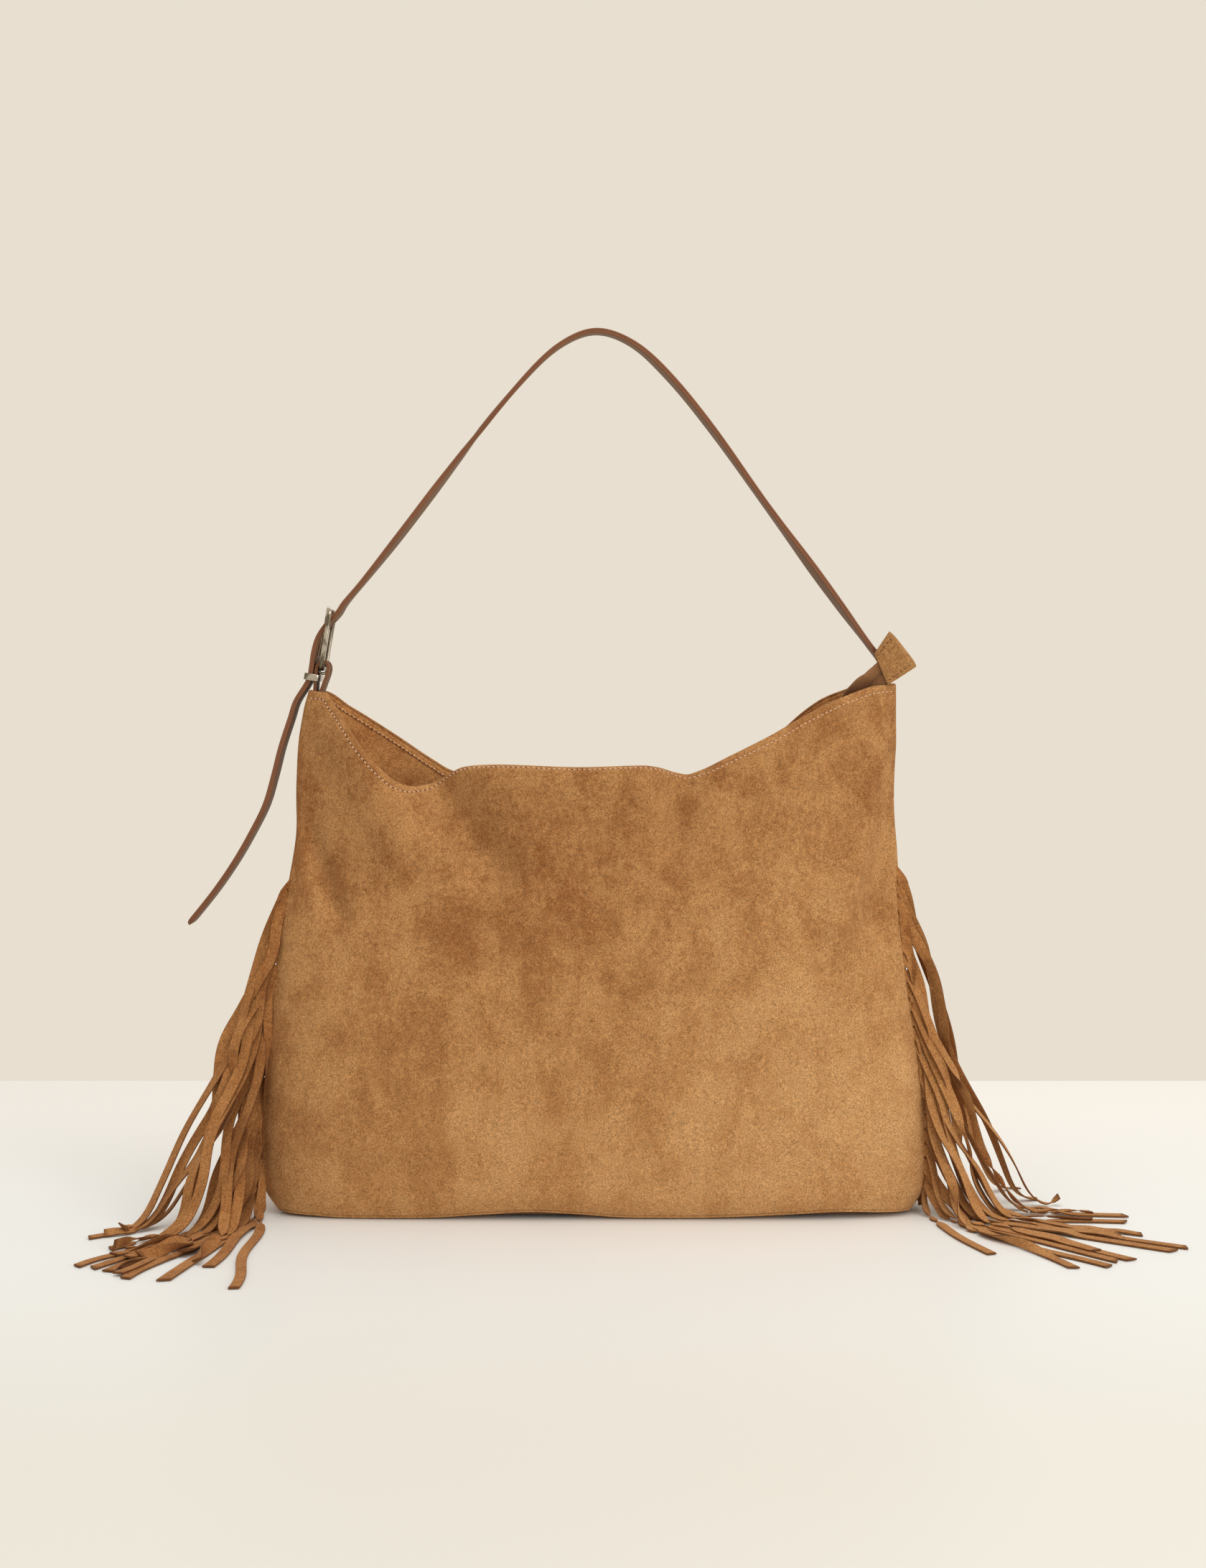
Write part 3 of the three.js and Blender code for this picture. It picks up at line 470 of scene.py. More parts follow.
# the bag's own shape, in millimetres, as the solids have it
bagShape = {
    "width": [(0, 196), (16, 205.5), (50, 206.5), (147.5, 195.5), (245, 184.5), (328, 183.5)],
    "depth": [(0, 50), (16, 57), (50, 60), (245, 46), (328, 42)],
    "gusset": [(0, 44), (147.5, 36), (245, 20), (328, 12.5)],
    "crown": [(50, 6), (245, 2.6), (328, 2)],
    # how far each side stands proud of the plain width
    "leftSwell": [
        (0, 0), (58, 0), (124, 3.2), (198, 3.6), (233, 2.6), (267, 4.9), (290, 6), (312, 3.9),
        (321, 1.6), (328, -0.7),
    ],
    "rightSwell": [
        (0, 0), (150, -0.8), (190, 0.6), (215, 3.6), (233, 4.6), (287, 4), (307, 2.2), (328, 0.6),
    ],
    "tuck": [(177.5, 0), (245, 9), (314, 1.8), (328, 0)],
    "corner": 10.0,
    "seamShare": 0.8,
    "tuckReach": 9.375,
    "peak": 328.0,
    "lean": 5.0,
    "waist": 245.0,
    "rounding": 16.0,
    "zip": 232.0,
    "foot": 2.3,
    "wall": 2.0,
    "fringeTop": 214.0,
    "footRise": [
        (-200, 1.6), (-176, 1.0), (-150, 0.1), (-110, 0.2), (-65, 2.6), (-38, 4.0), (-10, 2.6),
        (25, 0.4), (60, 0.3), (90, 1.1), (120, 2.4), (152, 3.8), (178, 2.6), (200, 1.4),
    ],
    # a fold: from x z, to x z, how far it rises, how wide it reaches
    "frontFolds": [
        (-103, 272, -62, 214, -11, 15), (-150, 296, -122, 236, 9, 20), (-183, 246, -158, 186, -6, 8),
        (57, 278, 44, 232, -8, 13), (198, 268, 174, 186, -11, 12), (180, 286, 152, 180, 6.5, 13),
        (-45, 270, 22, 270, 6, 26),
    ],
    "backFolds": [(-70, 262, -30, 200, -8, 22), (90, 280, 60, 205, -7, 20)],
    "frontRim": [
        (-1, 4), (-0.93, 5), (-0.88, 12), (-0.82, 23.5), (-0.77, 35), (-0.735, 42.5), (-0.685, 52),
        (-0.63, 60), (-0.585, 62.5), (-0.54, 61.5), (-0.465, 54), (-0.43, 50.5), (-0.38, 49),
        (-0.31, 48.5), (-0.05, 50), (0.145, 49), (0.19, 50), (0.26, 54), (0.29, 55), (0.325, 53),
        (0.42, 44), (0.55, 31.5), (0.69, 17), (0.84, 5), (0.92, 1), (1, 0),
    ],
    # degrees that the top edge of the front leans back, along the front
    "rimBend": [
        (-1, 8), (-0.7, 18), (-0.56, 45), (-0.45, 78), (0.2, 78), (0.3, 62), (0.42, 30), (0.6, 10),
        (1, 4),
    ],
    "bendStart": 5.5,
    "bendRun": 3.0,
    "backRim": [
        (-1, 4), (-0.96, 4), (-0.845, 14), (-0.69, 31), (-0.545, 49), (-0.49, 55), (-0.2, 70),
        (0.05, 74), (0.3, 66), (0.55, 42), (0.63, 27), (0.695, 16), (0.755, 8.5), (0.815, 4),
        (0.86, 1.5), (1, 0),
    ],
}


def bagCurves(*keys):
    return [curveThrough(bagShape[key]) for key in keys]


plainWidth, leftSwell, rightSwell = bagCurves("width", "leftSwell", "rightSwell")
halfDepth, gussetHalf, crown, tuck = bagCurves("depth", "gusset", "crown", "tuck")
frontRim, backRim, rimBend, footRise = bagCurves("frontRim", "backRim", "rimBend", "footRise")
quarter = math.pi / 2
seamAngle = math.asin(bagShape["seamShare"] ** (bagShape["corner"] / 2))


def halfWidth(z, side):
    return plainWidth(z) + np.where(np.asarray(side) < 0, leftSwell(z), rightSwell(z))


def foldDepth(folds, x, z):
    total = np.zeros(np.broadcast(x, z).shape)
    for fromX, fromZ, toX, toZ, rise, reach in folds:
        runX, runZ = toX - fromX, toZ - fromZ
        t = np.clip(((x - fromX) * runX + (z - fromZ) * runZ) / (runX**2 + runZ**2), 0, 1)
        away = np.hypot(x - fromX - runX * t, z - fromZ - runZ * t)
        total += rise * np.exp(-((away / reach) ** 2))
    return total


def slack(half, x, z):  # the small swells of soft suede between the folds
    swell = 0.9 * np.sin(x / 31 + 1.3 * np.sin(z / 47 + half)) * np.sin(z / 38 + 0.7 * half + x / 90)
    return swell + 0.35 * np.sin(x / 13 + z / 21 + 2 * half) * np.sin(z / 17 - x / 40)


def wallPoint(half, side, t, z, inset=0.0):
    half, side, t, z = np.broadcast_arrays(*(np.asarray(a, float) for a in (half, side, t, z)))
    shape = bagShape
    roundX = np.maximum(np.cos(t), 0) ** (2 / shape["corner"])
    roundY = np.sin(t) ** (2 / shape["corner"])
    bow = (halfDepth(z) - gussetHalf(z)) * (1 - roundX ** crown(z))
    lean = shape["lean"] * smooth(z, shape["waist"], shape["peak"])
    plainX = side * (halfWidth(z, side) - inset) * roundX + lean
    fade = smooth(1 - roundX, 0, 0.1) * smooth(z, 0, 2 * shape["rounding"])
    front, back = (foldDepth(shape[key], plainX, z) for key in ("frontFolds", "backFolds"))
    fold = np.where(half < 0, front, back) + slack(half, plainX, z) * smooth(1 - roundX, 0.02, 0.16)
    depth = (gussetHalf(z) - inset) * roundY + bow + fold * fade
    pulled = side * tuck(z) * np.exp(-((depth / shape["tuckReach"]) ** 2))
    return np.stack([plainX - pulled, half * depth, z], -1)


def gussetAngle(share):  # the wall's angle at a share of the gusset's half width
    return np.arcsin((np.abs(share) * bagShape["seamShare"]) ** (bagShape["corner"] / 2))


def panelColumns(count):  # side, angle and share of the half width, evenly spaced round the wall
    level = np.arccos(np.linspace(1, 0, 900) ** (bagShape["corner"] / 2))
    steps = np.concatenate([np.linspace(seamAngle, quarter, 900), level])
    steps = np.unique(np.clip(steps, seamAngle, quarter))
    run = runAlong(wallPoint(1, 1, steps, 50.0))
    angles = np.interp(np.linspace(0, run[-1], count // 2 + 1), run, steps)
    share = np.linspace(1, 0, count // 2 + 1)
    side = np.concatenate([-np.ones(len(angles) - 1), np.ones(len(angles))])
    return side, np.concatenate([angles[:-1], angles[::-1]]), np.concatenate([-share[:-1], share[::-1]])


def wallRing(count, reach, ends):  # half, side and angle of points all round the wall
    side, angle, _ = panelColumns(count)
    share = np.linspace(-reach, reach, ends)
    face, turn = signs(share), gussetAngle(share)
    panel, gusset = np.ones(len(side)), np.ones(ends)
    half = np.concatenate([-panel, face, panel, face[::-1]])
    sides = np.concatenate([side, gusset, side[::-1], -gusset])
    return half, sides, np.concatenate([angle, turn, angle[::-1], turn[::-1]])


def offFloor(points):  # the front's lower edge lies on the floor in waves
    x, y, z = np.moveaxis(points, -1, 0)
    lift = footRise(x) * smooth(-y, 8, 40) * (1 - smooth(z, 0, 24))
    return points + lift[..., None] * [0, 0, 1]


def rimHeight(half, share):
    return bagShape["peak"] - (frontRim(share) if half < 0 else backRim(share))


def seamHalfGap(z):
    return np.where(z < bagShape["fringeTop"] + 3, 0.8, 0.15)


# the rim's own curve: how far down and how far in a point lies that is below mm from the edge
def overRim(half, share, below):
    start, run = bagShape["bendStart"], bagShape["bendRun"]
    bend = np.radians(rimBend(share) if half < 0 else np.full_like(share, 10.0))

    def at(t):
        turned = bend * np.clip(t, 0, run) / run
        past = np.maximum(t - run, 0)
        up = np.minimum(t, 0) + run / bend * np.sin(turned) + past * np.cos(bend)
        return up, run / bend * (1 - np.cos(turned)) + past * np.sin(bend)

    top, inward = at(start)[0], at(start - below)
    return top - inward[0], inward[1]


panelMesh = {
    "columns": 240,
    "lowerRows": 74,
    "upperRows": 30,
    "stitchBelow": 3.7,
    "groove": 0.5,
    "grooveWidth": 0.8,
}
footRows = np.array([2.3, 2.9, 4.0, 5.6, 7.8, 10.4, 13.2])
rimRows = np.array(
    [9, 8, 7.2, 6.5, 6, 5.5, 5, 4.6, 4.3, 4, 3.7, 3.4, 3.1, 2.7, 2.2, 1.7, 1.2, 0.8, 0.4, 0.0]
)


def rimSlope(half, share):  # how much longer a level drop is than the distance to the sloping edge
    step, width, steepest = 0.004, 190, 1.2
    rise = (rimHeight(half, share + step) - rimHeight(half, share - step)) / (2 * step * width)
    return np.sqrt(1 + np.clip(rise, -steepest, steepest) ** 2)


# the outer face of a panel: rows run level up to the zip, then share out the height to the rim
def panelFace(half, columns):
    side, angle, share = columns
    look, zipLevel = panelMesh, bagShape["zip"]
    steep = rimSlope(half, share)
    top = rimHeight(half, share) - 1.0
    levels = np.concatenate([footRows, np.linspace(16, zipLevel, look["lowerRows"])])
    lastDrop = overRim(half, share, np.full_like(share, rimRows[0]))[0] * steep
    rows = [np.full_like(top, level) for level in levels]
    rows += [lerp(zipLevel, top - lastDrop, part) for part in np.linspace(0, 1, look["upperRows"])[1:-1]]
    inward = [np.zeros_like(top)] * len(rows)
    below = [np.full_like(top, 99.0)] * len(rows)
    for gap in rimRows:
        drop, back = overRim(half, share, np.full_like(share, gap))
        rows.append(top - drop * steep)
        inward.append(back)
        below.append(np.full_like(top, gap))
    z, inward, below = np.stack(rows), np.stack(inward), np.stack(below)
    grid = wallPoint(half, side[None], angle[None], z)
    grid[..., 1] -= half * inward
    grid[:, [0, -1], 1] += half * seamHalfGap(z[:, [0, -1]])
    grid = offFloor(grid)
    face = faceOf(grid)
    face *= np.sign(face[40, len(share) // 2, 1]) * half
    press = look["groove"] * np.exp(-(((below - look["stitchBelow"]) / look["grooveWidth"]) ** 2))
    return grid - face * press[..., None], face


def suedePanel(name, half):
    outer, face = panelFace(half, panelColumns(panelMesh["columns"]))
    suedePiece(name, thickSheet(outer, outer - face * bagShape["wall"], 5))


def suedeGusset(name, side):
    share = np.linspace(-1, 1, 41)
    half, angle = signs(share), gussetAngle(share)
    top = bagShape["peak"] - (4 if side < 0 else 0) - 1.0
    rows = np.concatenate([footRows, np.linspace(16, top, 100)])[:, None]

    def grid(inset):
        made = wallPoint(half[None], side, angle[None], rows, inset)
        edge = wallPoint(half[None, [0, -1]], side, angle[None, [0, -1]], rows, 0.0)
        made[:, [0, -1], 1] = edge[..., 1] - half[[0, -1]] * seamHalfGap(rows)
        return made

    suedePiece(name, thickSheet(grid(0.0), grid(bagShape["wall"]), 5))


suedePanel("front_panel", -1)
suedePanel("back_panel", 1)
suedeGusset("left_gusset", -1)
suedeGusset("right_gusset", 1)
print("walls made")


# fringe: each strip is two rails of points that leave the seam, fall outwards and lie on the floor
fringeLook = {
    "strips": 22,
    "top": {-1: 207.0, 1: 215.0},
    "pitch": {-1: 8.7, 1: 9.0},
    "width": 7.0,
    "rootWidth": 9.0,
    "thick": 1.0,
    "lengths": {-1: (246, 172), 1: (238, 170)},
    "stations": 46,
    "steps": 240,
    "passes": 10,
    "floor": 0.6,
    "seed": {-1: 11, 1: 23},
    # degrees that the strips droop where they leave the seam, and more than that for the top few
    "droop": {-1: 30, 1: 40},
    "topDroop": 64,
    # how far the strips are turned edge on at the seam, 0 to 1
    "turned": {-1: 0.16, 1: 0.36},
    # how far out the strips land: a part that is the same for all and a share of the height
    "reach": {-1: (18, 0.48), 1: (15, 0.43)},
    # where the strips run on the floor, top strip to bottom: degrees from straight out, towards the front
    "headings": {-1: (38, 78), 1: (-12, 56)},
    # strips that hang straight down beside the bag: how far out they land, heading and length
    "hanging": {
        -1: {7: (26, 62, 238), 14: (12, 84, 205)},
        1: {3: (8, 85, 179), 4: (10, 70, 172), 13: (14, 75, 190)},
    },
    "hangingSway": 5.0,
    # which way the strips fall from the seam, and the hanging ones
    "outward": (0.46, -0.05, -0.89),
    "downward": (0.13, -0.3, -0.94),
    # how much the strips differ
    "lengthShare": (0.92, 1.05),
    "widthShare": (0.84, 1.08),
    "reachMore": (-8, 6),
    "headingSpread": 9,
    "turnSpread": 12,
    "droopSpread": 4,
    "spinSpread": 0.45,
    # the waves along a strip: how far they swing, their length, where they start and their bearing
    "sway": {-1: (4.5, 10.5), 1: (3.0, 8.0)},
    "waveLength": (80, 150),
    "wavePhase": (0, 6.3),
    "waveBearing": (-0.8, 0.8),
    "tipSlant": 3.5,
    "edgeRound": 0.22,
    "lowest": 0.55,
    "header": (3.8, 0.7),
    # settling: how strongly a hanging strip keeps the shape it has been laid in, and its ties and speed
    "set": 1600.0,
    "ties": ((1, 1.0), (2, 0.22), (4, 0.05)),
    "slantTie": 0.6,
    "gravity": 9810.0,
    "frameTime": 1 / 240,
    "drag": 0.965,
    "topSpeed": 260.0,
    "stackGap": 1.5,
    "stackReach": (8.0, 7.0, 4.5),
    "slip": 0.1,
}


def seamPoint(side, z):
    return wallPoint(-1, side, seamAngle, np.maximum(z, bagShape["foot"]))


def bezier(points, count):
    t = np.linspace(0, 1, count)[:, None]
    a, b, c, d = points
    return a * (1 - t) ** 3 + 3 * b * t * (1 - t) ** 2 + 3 * c * t**2 * (1 - t) + d * t**3


def evenly(line, reach):  # points at the given distances along a line, carried on straight past its end
    run = runAlong(line)
    past = np.maximum(reach - run[-1], 0)[:, None]
    return sampled(line, run, reach) + past * unit(line[-1] - line[-2])


def fringeStart(side, luck):
    look = fringeLook
    count, stations = look["strips"], look["stations"]
    rails = np.zeros((count, stations, 2, 3))
    lengths, widths = np.zeros(count), np.zeros(count)
    for i in range(count):
        down = i / (count - 1)
        z = look["top"][side] - look["pitch"][side] * (i + 0.5)
        lengths[i] = lerp(*look["lengths"][side], down) * luck.uniform(*look["lengthShare"])
        widths[i] = look["width"] * luck.uniform(*look["widthShare"])
        plain, more = look["reach"][side]
        reach = plain + more * z + luck.uniform(*look["reachMore"])
        angle = lerp(*look["headings"][side], down) + luck.normal(0, look["headingSpread"])
        turn = angle + luck.normal(0, look["turnSpread"])
        droop = lerp(look["topDroop"], look["droop"][side], min(i / 4, 1))
        droop += luck.normal(0, look["droopSpread"])
        spin = luck.normal(0, look["spinSpread"])
        ranges = (look["sway"][side], look["waveLength"], look["wavePhase"], look["waveBearing"])
        sway, length, phase, bearing = (luck.uniform(*ends) for ends in ranges)
        out = np.multiply(look["outward"], (side, 1, 1))
        if i in look["hanging"][side]:
            reach, angle, lengths[i] = look["hanging"][side][i]
            turn, sway = angle, look["hangingSway"]
            out = np.multiply(look["downward"], (side, 1, 1))
        angle, turn, droop = (math.radians(value) for value in (angle, turn, droop))
        gap = lengths[i] / (stations - 1)
        seamUp = unit(seamPoint(side, z + 1) - seamPoint(side, z - 1))
        root = seamPoint(side, z) + (side * 0.3, 0, 0)
        leave = np.array([side * math.cos(droop), -0.08, -math.sin(droop)])
        heading = np.array([side * math.cos(angle), -math.sin(angle), 0])
        landing = root + heading * reach
        landing[2] = look["floor"] + 1
        sweep = unit(heading * 0.85 + (0, 0, -0.52))
        fall = bezier([root, root + out * 0.35 * z, landing - sweep * 0.3 * z, landing], 80)
        away = np.array([side * math.cos(turn), -math.sin(turn), 0])
        lie = landing + np.linspace(0, 1, 30)[1:, None] * (away * 220)
        lie[:, 2] = look["floor"] + 1 + 0.5 * (count - i)
        run = np.linspace(0, lengths[i], stations)[:, None]
        line = evenly(np.concatenate([fall, lie]), run[:, 0])
        line += (leave * gap + root - line[1]) * np.exp(-np.maximum(run - gap, 0) / 24)
        line[0] = root
        drop = max(z, 30)
        hangs = smooth(run, 6, 40) * (1 - 0.6 * smooth(run, 0.7 * drop, 1.0 * drop))
        wave = hangs * sway * np.sin(2 * math.pi * run / length + phase)
        line = evenly(line + wave * [math.cos(bearing), math.sin(bearing), 0], run[:, 0])
        ahead = unit(np.gradient(line, axis=0))
        facing = unit(np.cross(ahead, [0, 1.0, 0]))  # the strip seen flat from the front
        level = unit(np.cross([0, 0, 1.0], ahead))  # the strip lying flat
        level *= np.sign(np.sum(level * facing, 1, keepdims=True) + 1e-6)
        share = lerp(look["turned"][side], 1.0, smooth(run, 0.15 * drop, 1.05 * drop))
        wide = squared(unit(lerp(facing, level, share)), ahead)
        twist = spin * np.sin(np.clip(run / (1.1 * drop), 0, 1) * math.pi)
        wide = wide * np.cos(twist) + np.cross(ahead, wide) * np.sin(twist)
        half = widths[i] / 2
        rails[i] = np.stack([line - wide * half, line + wide * half], 1)
        up = seamUp * np.sign(np.sum(seamUp * wide[1])) * look["rootWidth"] / 2
        rails[i, 0] = [root - up, root + up]
    return rails, lengths, widths


def pull(a, b, weightA, weightB, rest, stiff):  # moves pairs of points towards their resting distance
    run = b - a
    size = np.maximum(np.linalg.norm(run, axis=-1, keepdims=True), 1e-9)
    move = stiff * (size - rest) * run / size / np.maximum(weightA + weightB, 1e-9)
    a += weightA * move
    b -= weightB * move


def fringeTies(home):  # along each strip and aslant across its cells, as long as they were laid
    look, stations, every = fringeLook, home.shape[1], slice(None)
    along, aslant = [], []

    def tied(a, b, stiff):
        return a, b, np.linalg.norm(home[b] - home[a], axis=-1, keepdims=True), stiff

    for step, stiff in look["ties"]:
        for odd in (0, 1):
            a = np.array([k for k in range(odd * step, stations - step) if (k // step) % 2 == odd])
            along.append(tied((every, a), (every, a + step), stiff))
    for one, two in ((0, 1), (1, 0)):
        for odd in (0, 1):
            a = np.arange(odd, stations - 1, 2)
            aslant.append(tied((every, a, one), (every, a + 1, two), look["slantTie"]))
    return along, aslant


def pressApart(spots, strip):  # strips press on each other along their faces
    reach, broad, long = fringeLook["stackReach"]
    stack = fringeLook["stackGap"]
    middle = spots.mean(2).reshape(-1, 3)
    wide = unit(spots[:, :, 1] - spots[:, :, 0]).reshape(-1, 3)
    ahead = unit(np.gradient(spots.mean(2), axis=1)).reshape(-1, 3)
    face = unit(np.cross(ahead, wide))
    square = np.sum(middle**2, 1)
    apart = square[:, None] + square[None] - 2 * middle @ middle.T
    a, b = np.nonzero((apart < reach**2) & (strip[:, None] < strip[None]))
    run = middle[b] - middle[a]
    shove, weight = np.zeros_like(middle), np.zeros(len(middle))
    for one, two, sign in ((a, b, 1.0), (b, a, -1.0)):
        off = sign * np.sum(run * face[one], 1)
        beside = np.abs(np.sum(run * wide[one], 1))
        along = np.abs(np.sum(run * ahead[one], 1))
        near = (np.abs(off) < stack) & (beside < broad) & (along < long)
        room = (stack - np.abs(off)) * signs(off)
        push = np.where(near, room, 0)[:, None] * face[one] * 0.5
        np.add.at(shove, two, push)
        np.add.at(shove, one, -push)
        np.add.at(weight, one, near)
        np.add.at(weight, two, near)
    return (shove / np.maximum(weight, 1)[:, None]).reshape(*spots.shape[:2], 1, 3)


def sideWall(side, y, z):  # how far out the bag's side stands
    deep = np.clip(np.abs(y) / np.maximum(gussetHalf(z), 1), 0, 1)
    bow = np.clip((np.abs(y) - gussetHalf(z)) / np.maximum(halfDepth(z) - gussetHalf(z), 1), 0, 1)
    width = halfWidth(z, side)
    wall = width * (1 - deep**10) ** 0.1 * (1 - 0.3 * bow) + 1.2
    wall = np.where(np.abs(y) < gussetHalf(z), wall, width * (1 - bow) ** 0.3)
    return np.where(np.abs(y) < halfDepth(z), wall, 0)


def settleFringe(side):
    look = fringeLook
    spots, lengths, widths = fringeStart(side, np.random.default_rng(look["seed"][side]))
    count, stations = spots.shape[:2]
    free = np.ones((1, stations, 2, 1))
    free[:, :2] = 0
    loose = free[..., 0] > 0
    home, still, speed = spots.copy(), spots.copy(), np.zeros_like(spots)
    along, aslant = fringeTies(home)
    strip = np.repeat(np.arange(count), stations)
    floor, dt = look["floor"], look["frameTime"]

    def tie(ties):
        for first, second, rest, stiff in ties:
            a, b = spots[first], spots[second]
            pull(a, b, free[first], free[second], rest, stiff)
            spots[first], spots[second] = a, b

    for _ in range(look["steps"]):
        still[...] = spots
        speed[..., 2] -= look["gravity"] * dt
        speed += (home - spots) * look["set"] * dt * smooth(home[..., 2:3], 6, 30)
        speed *= look["drag"]
        pace = np.linalg.norm(speed, axis=-1, keepdims=True)
        speed *= np.minimum(1, look["topSpeed"] / np.maximum(pace, 1e-6))
        spots += speed * dt * free
        for _ in range(look["passes"]):
            tie(along)
            left, right = spots[:, :, 0], spots[:, :, 1]
            pull(left, right, free[:, :, 0], free[:, :, 0], widths[:, None, None], 1.0)
            tie(aslant)
        spots += pressApart(spots, strip) * free
        # the bag's side and the floor hold the strips
        x, y, z = spots[..., 0], spots[..., 1], np.maximum(spots[..., 2], 0)
        wall = sideWall(side, y, z)
        spots[..., 0] = np.where((side * x < wall) & loose, side * wall, x)
        low = (spots[..., 2] < floor) & loose
        spots[..., 2] = np.where(low, floor, spots[..., 2])
        resting = (spots[..., 2:3] < floor + 1.5) & (free > 0)
        slide = spots[..., :2] - still[..., :2]
        spots[..., :2] = np.where(resting, still[..., :2] + look["slip"] * slide, spots[..., :2])
        speed = (spots - still) / dt
    for _ in range(2):
        spots[:, 2:-1] = (spots[:, 1:-2] + 2 * spots[:, 2:-1] + spots[:, 3:]) / 4
    return spots, lengths, widths


def finer(line, times):  # a smooth line through the points, with times points to each gap
    ends = np.concatenate([2 * line[:1] - line[1:2], line, 2 * line[-1:] - line[-2:-1]])
    a, b, c, d = ends[:-3], ends[1:-2], ends[2:-1], ends[3:]
    made = []
    for t in np.arange(times) / times:
        bend = (2 * a - 5 * b + 4 * c - d) * t**2 + (3 * b - a - 3 * c + d) * t**3
        made.append(0.5 * (2 * b + (c - a) * t + bend))
    return np.concatenate([np.stack(made, 1).reshape(-1, 3), line[-1:]])


def ribbonRings(left, right, thick, rounding):  # eight points of a flat strip's section at each station
    middle = (left + right) / 2
    wide = unit(right - left)
    half = np.linalg.norm(right - left, axis=1, keepdims=True) / 2
    face = unit(np.cross(unit(np.gradient(middle, axis=0)), wide))
    rise, inner, narrow = thick / 2, thick / 2 - rounding, half - rounding
    section = [(-half, -inner), (-half, inner), (-narrow, rise), (narrow, rise)]
    section += [(-across, -up) for across, up in section]
    return np.stack([middle + wide * across + face * up for across, up in section], 1)


def suedeFringe(name, side):
    look = fringeLook
    rails, lengths, widths = settleFringe(side)
    luck = np.random.default_rng(look["seed"][side] + 5)
    slants = luck.uniform(-look["tipSlant"], look["tipSlant"], 2 * look["strips"])[::2]
    parts, edges = [], []
    for rail, slant in zip(rails, slants):
        left, right = (finer(rail[:, k], 2) for k in (0, 1))
        tip = unit(left[-1] - left[-2])
        left[-1] += tip * max(slant, 0)
        right[-1] += tip * max(-slant, 0)
        for line in (left, right):
            line[:, 2] = np.maximum(line[:, 2], look["lowest"])
        ring = ribbonRings(left, right, look["thick"], look["edgeRound"])
        dark = np.tile([1.0, 1, 0, 0, 1, 1, 0, 0], (len(ring), 1))
        dark[-1] = 1
        parts.append(tube(ring))
        edges.append(dark)
    top = look["top"][side]
    tall = look["strips"] * look["pitch"][side]
    seam = seamPoint(side, np.linspace(top - tall, top, 60))
    inward, outward = (np.array([side * reach, 0, 0]) for reach in look["header"])
    parts.append(tube(ribbonRings(seam - inward, seam + outward, look["thick"], look["edgeRound"])))
    edges.append(np.zeros((60, 8)))
    made = suedePiece(name, joined(parts), "strip")
    mark(made, "cutEdge", np.concatenate(edges))
    area = np.sum(lengths * widths) + sum(look["header"]) * tall
    (lengths.max() + 5) * 0.001


suedeFringe("left_fringe", -1)
suedeFringe("right_fringe", 1)
print("fringes settled")


# base: a plate under the walls, its edge rounded and showing as a thin welt along the foot
baseLook = {
    "thick": 2.0,
    # the edge from underneath to the top: how far out and how high
    "welt": [(-1.2, 0), (-0.35, 0.15), (0, 0.5), (0.15, 1), (0, 1.5), (-0.4, 1.85), (-1.2, 2)],
}


def suedeBase():
    ring = wallPoint(*wallRing(120, 0.8, 9), 0.0)
    middle = ring.mean(0)
    outward = unit((ring - middle) * [0.25, 1, 0])
    under, over = (lerp(middle, ring, 0.5) + (0, 0, z) for z in (0, baseLook["thick"]))
    welt = [ring + outward * out + (0, 0, z) for out, z in baseLook["welt"]]
    suedePiece("base_panel", tube(offFloor(np.stack([under, *welt, over]))))


suedeBase()


# facings: bands inside the rim, down to the zip
facingLook = {"away": 2.3, "thick": 1.0, "reach": 0.965, "belowRim": 3}


def suedeFacing(name, half):
    look = facingLook
    columns = panelColumns(panelMesh["columns"])
    outer, face = panelFace(half, columns)
    first = len(footRows) + panelMesh["lowerRows"] - 1
    keep = np.abs(columns[2]) < look["reach"]
    band, out = (grid[first : -look["belowRim"], keep] for grid in (outer, face))
    sheet = thickSheet(band - out * look["away"], band - out * (look["away"] + look["thick"]))
    suedePiece(name, sheet, "facing")


suedeFacing("front_facing", -1)
suedeFacing("back_facing", 1)


# lining: an open bag of cloth inside the walls
liningLook = {"inset": 4.4, "thick": 0.6, "bottom": 2.3, "belowZip": 1.5}


def liningBag():
    look = liningLook
    around = wallRing(140, 0.9, 15)
    top = bagShape["zip"] - look["belowZip"]
    levels = np.concatenate([[look["bottom"], 3.2, 5.5, 9, 13], np.linspace(18, top, 50)])[:, None]
    skins = []
    for thick in (0, look["thick"]):
        wall = wallPoint(*around, levels, look["inset"] + thick)
        wall[0, :, 2] += thick
        middle = np.zeros_like(wall[:1]) + (0, 0, look["bottom"] + thick)
        skins.append(np.concatenate([middle, wall]))
    rings = np.concatenate([skins[0], skins[1][::-1]])
    faces = quads(*rings.shape[:2], turnCols=True)
    piece("lining_cloth", rings, faces, "lining", standsFor=["lining"], slot="lining_cloth")


liningBag()
print("base, facings and lining made")


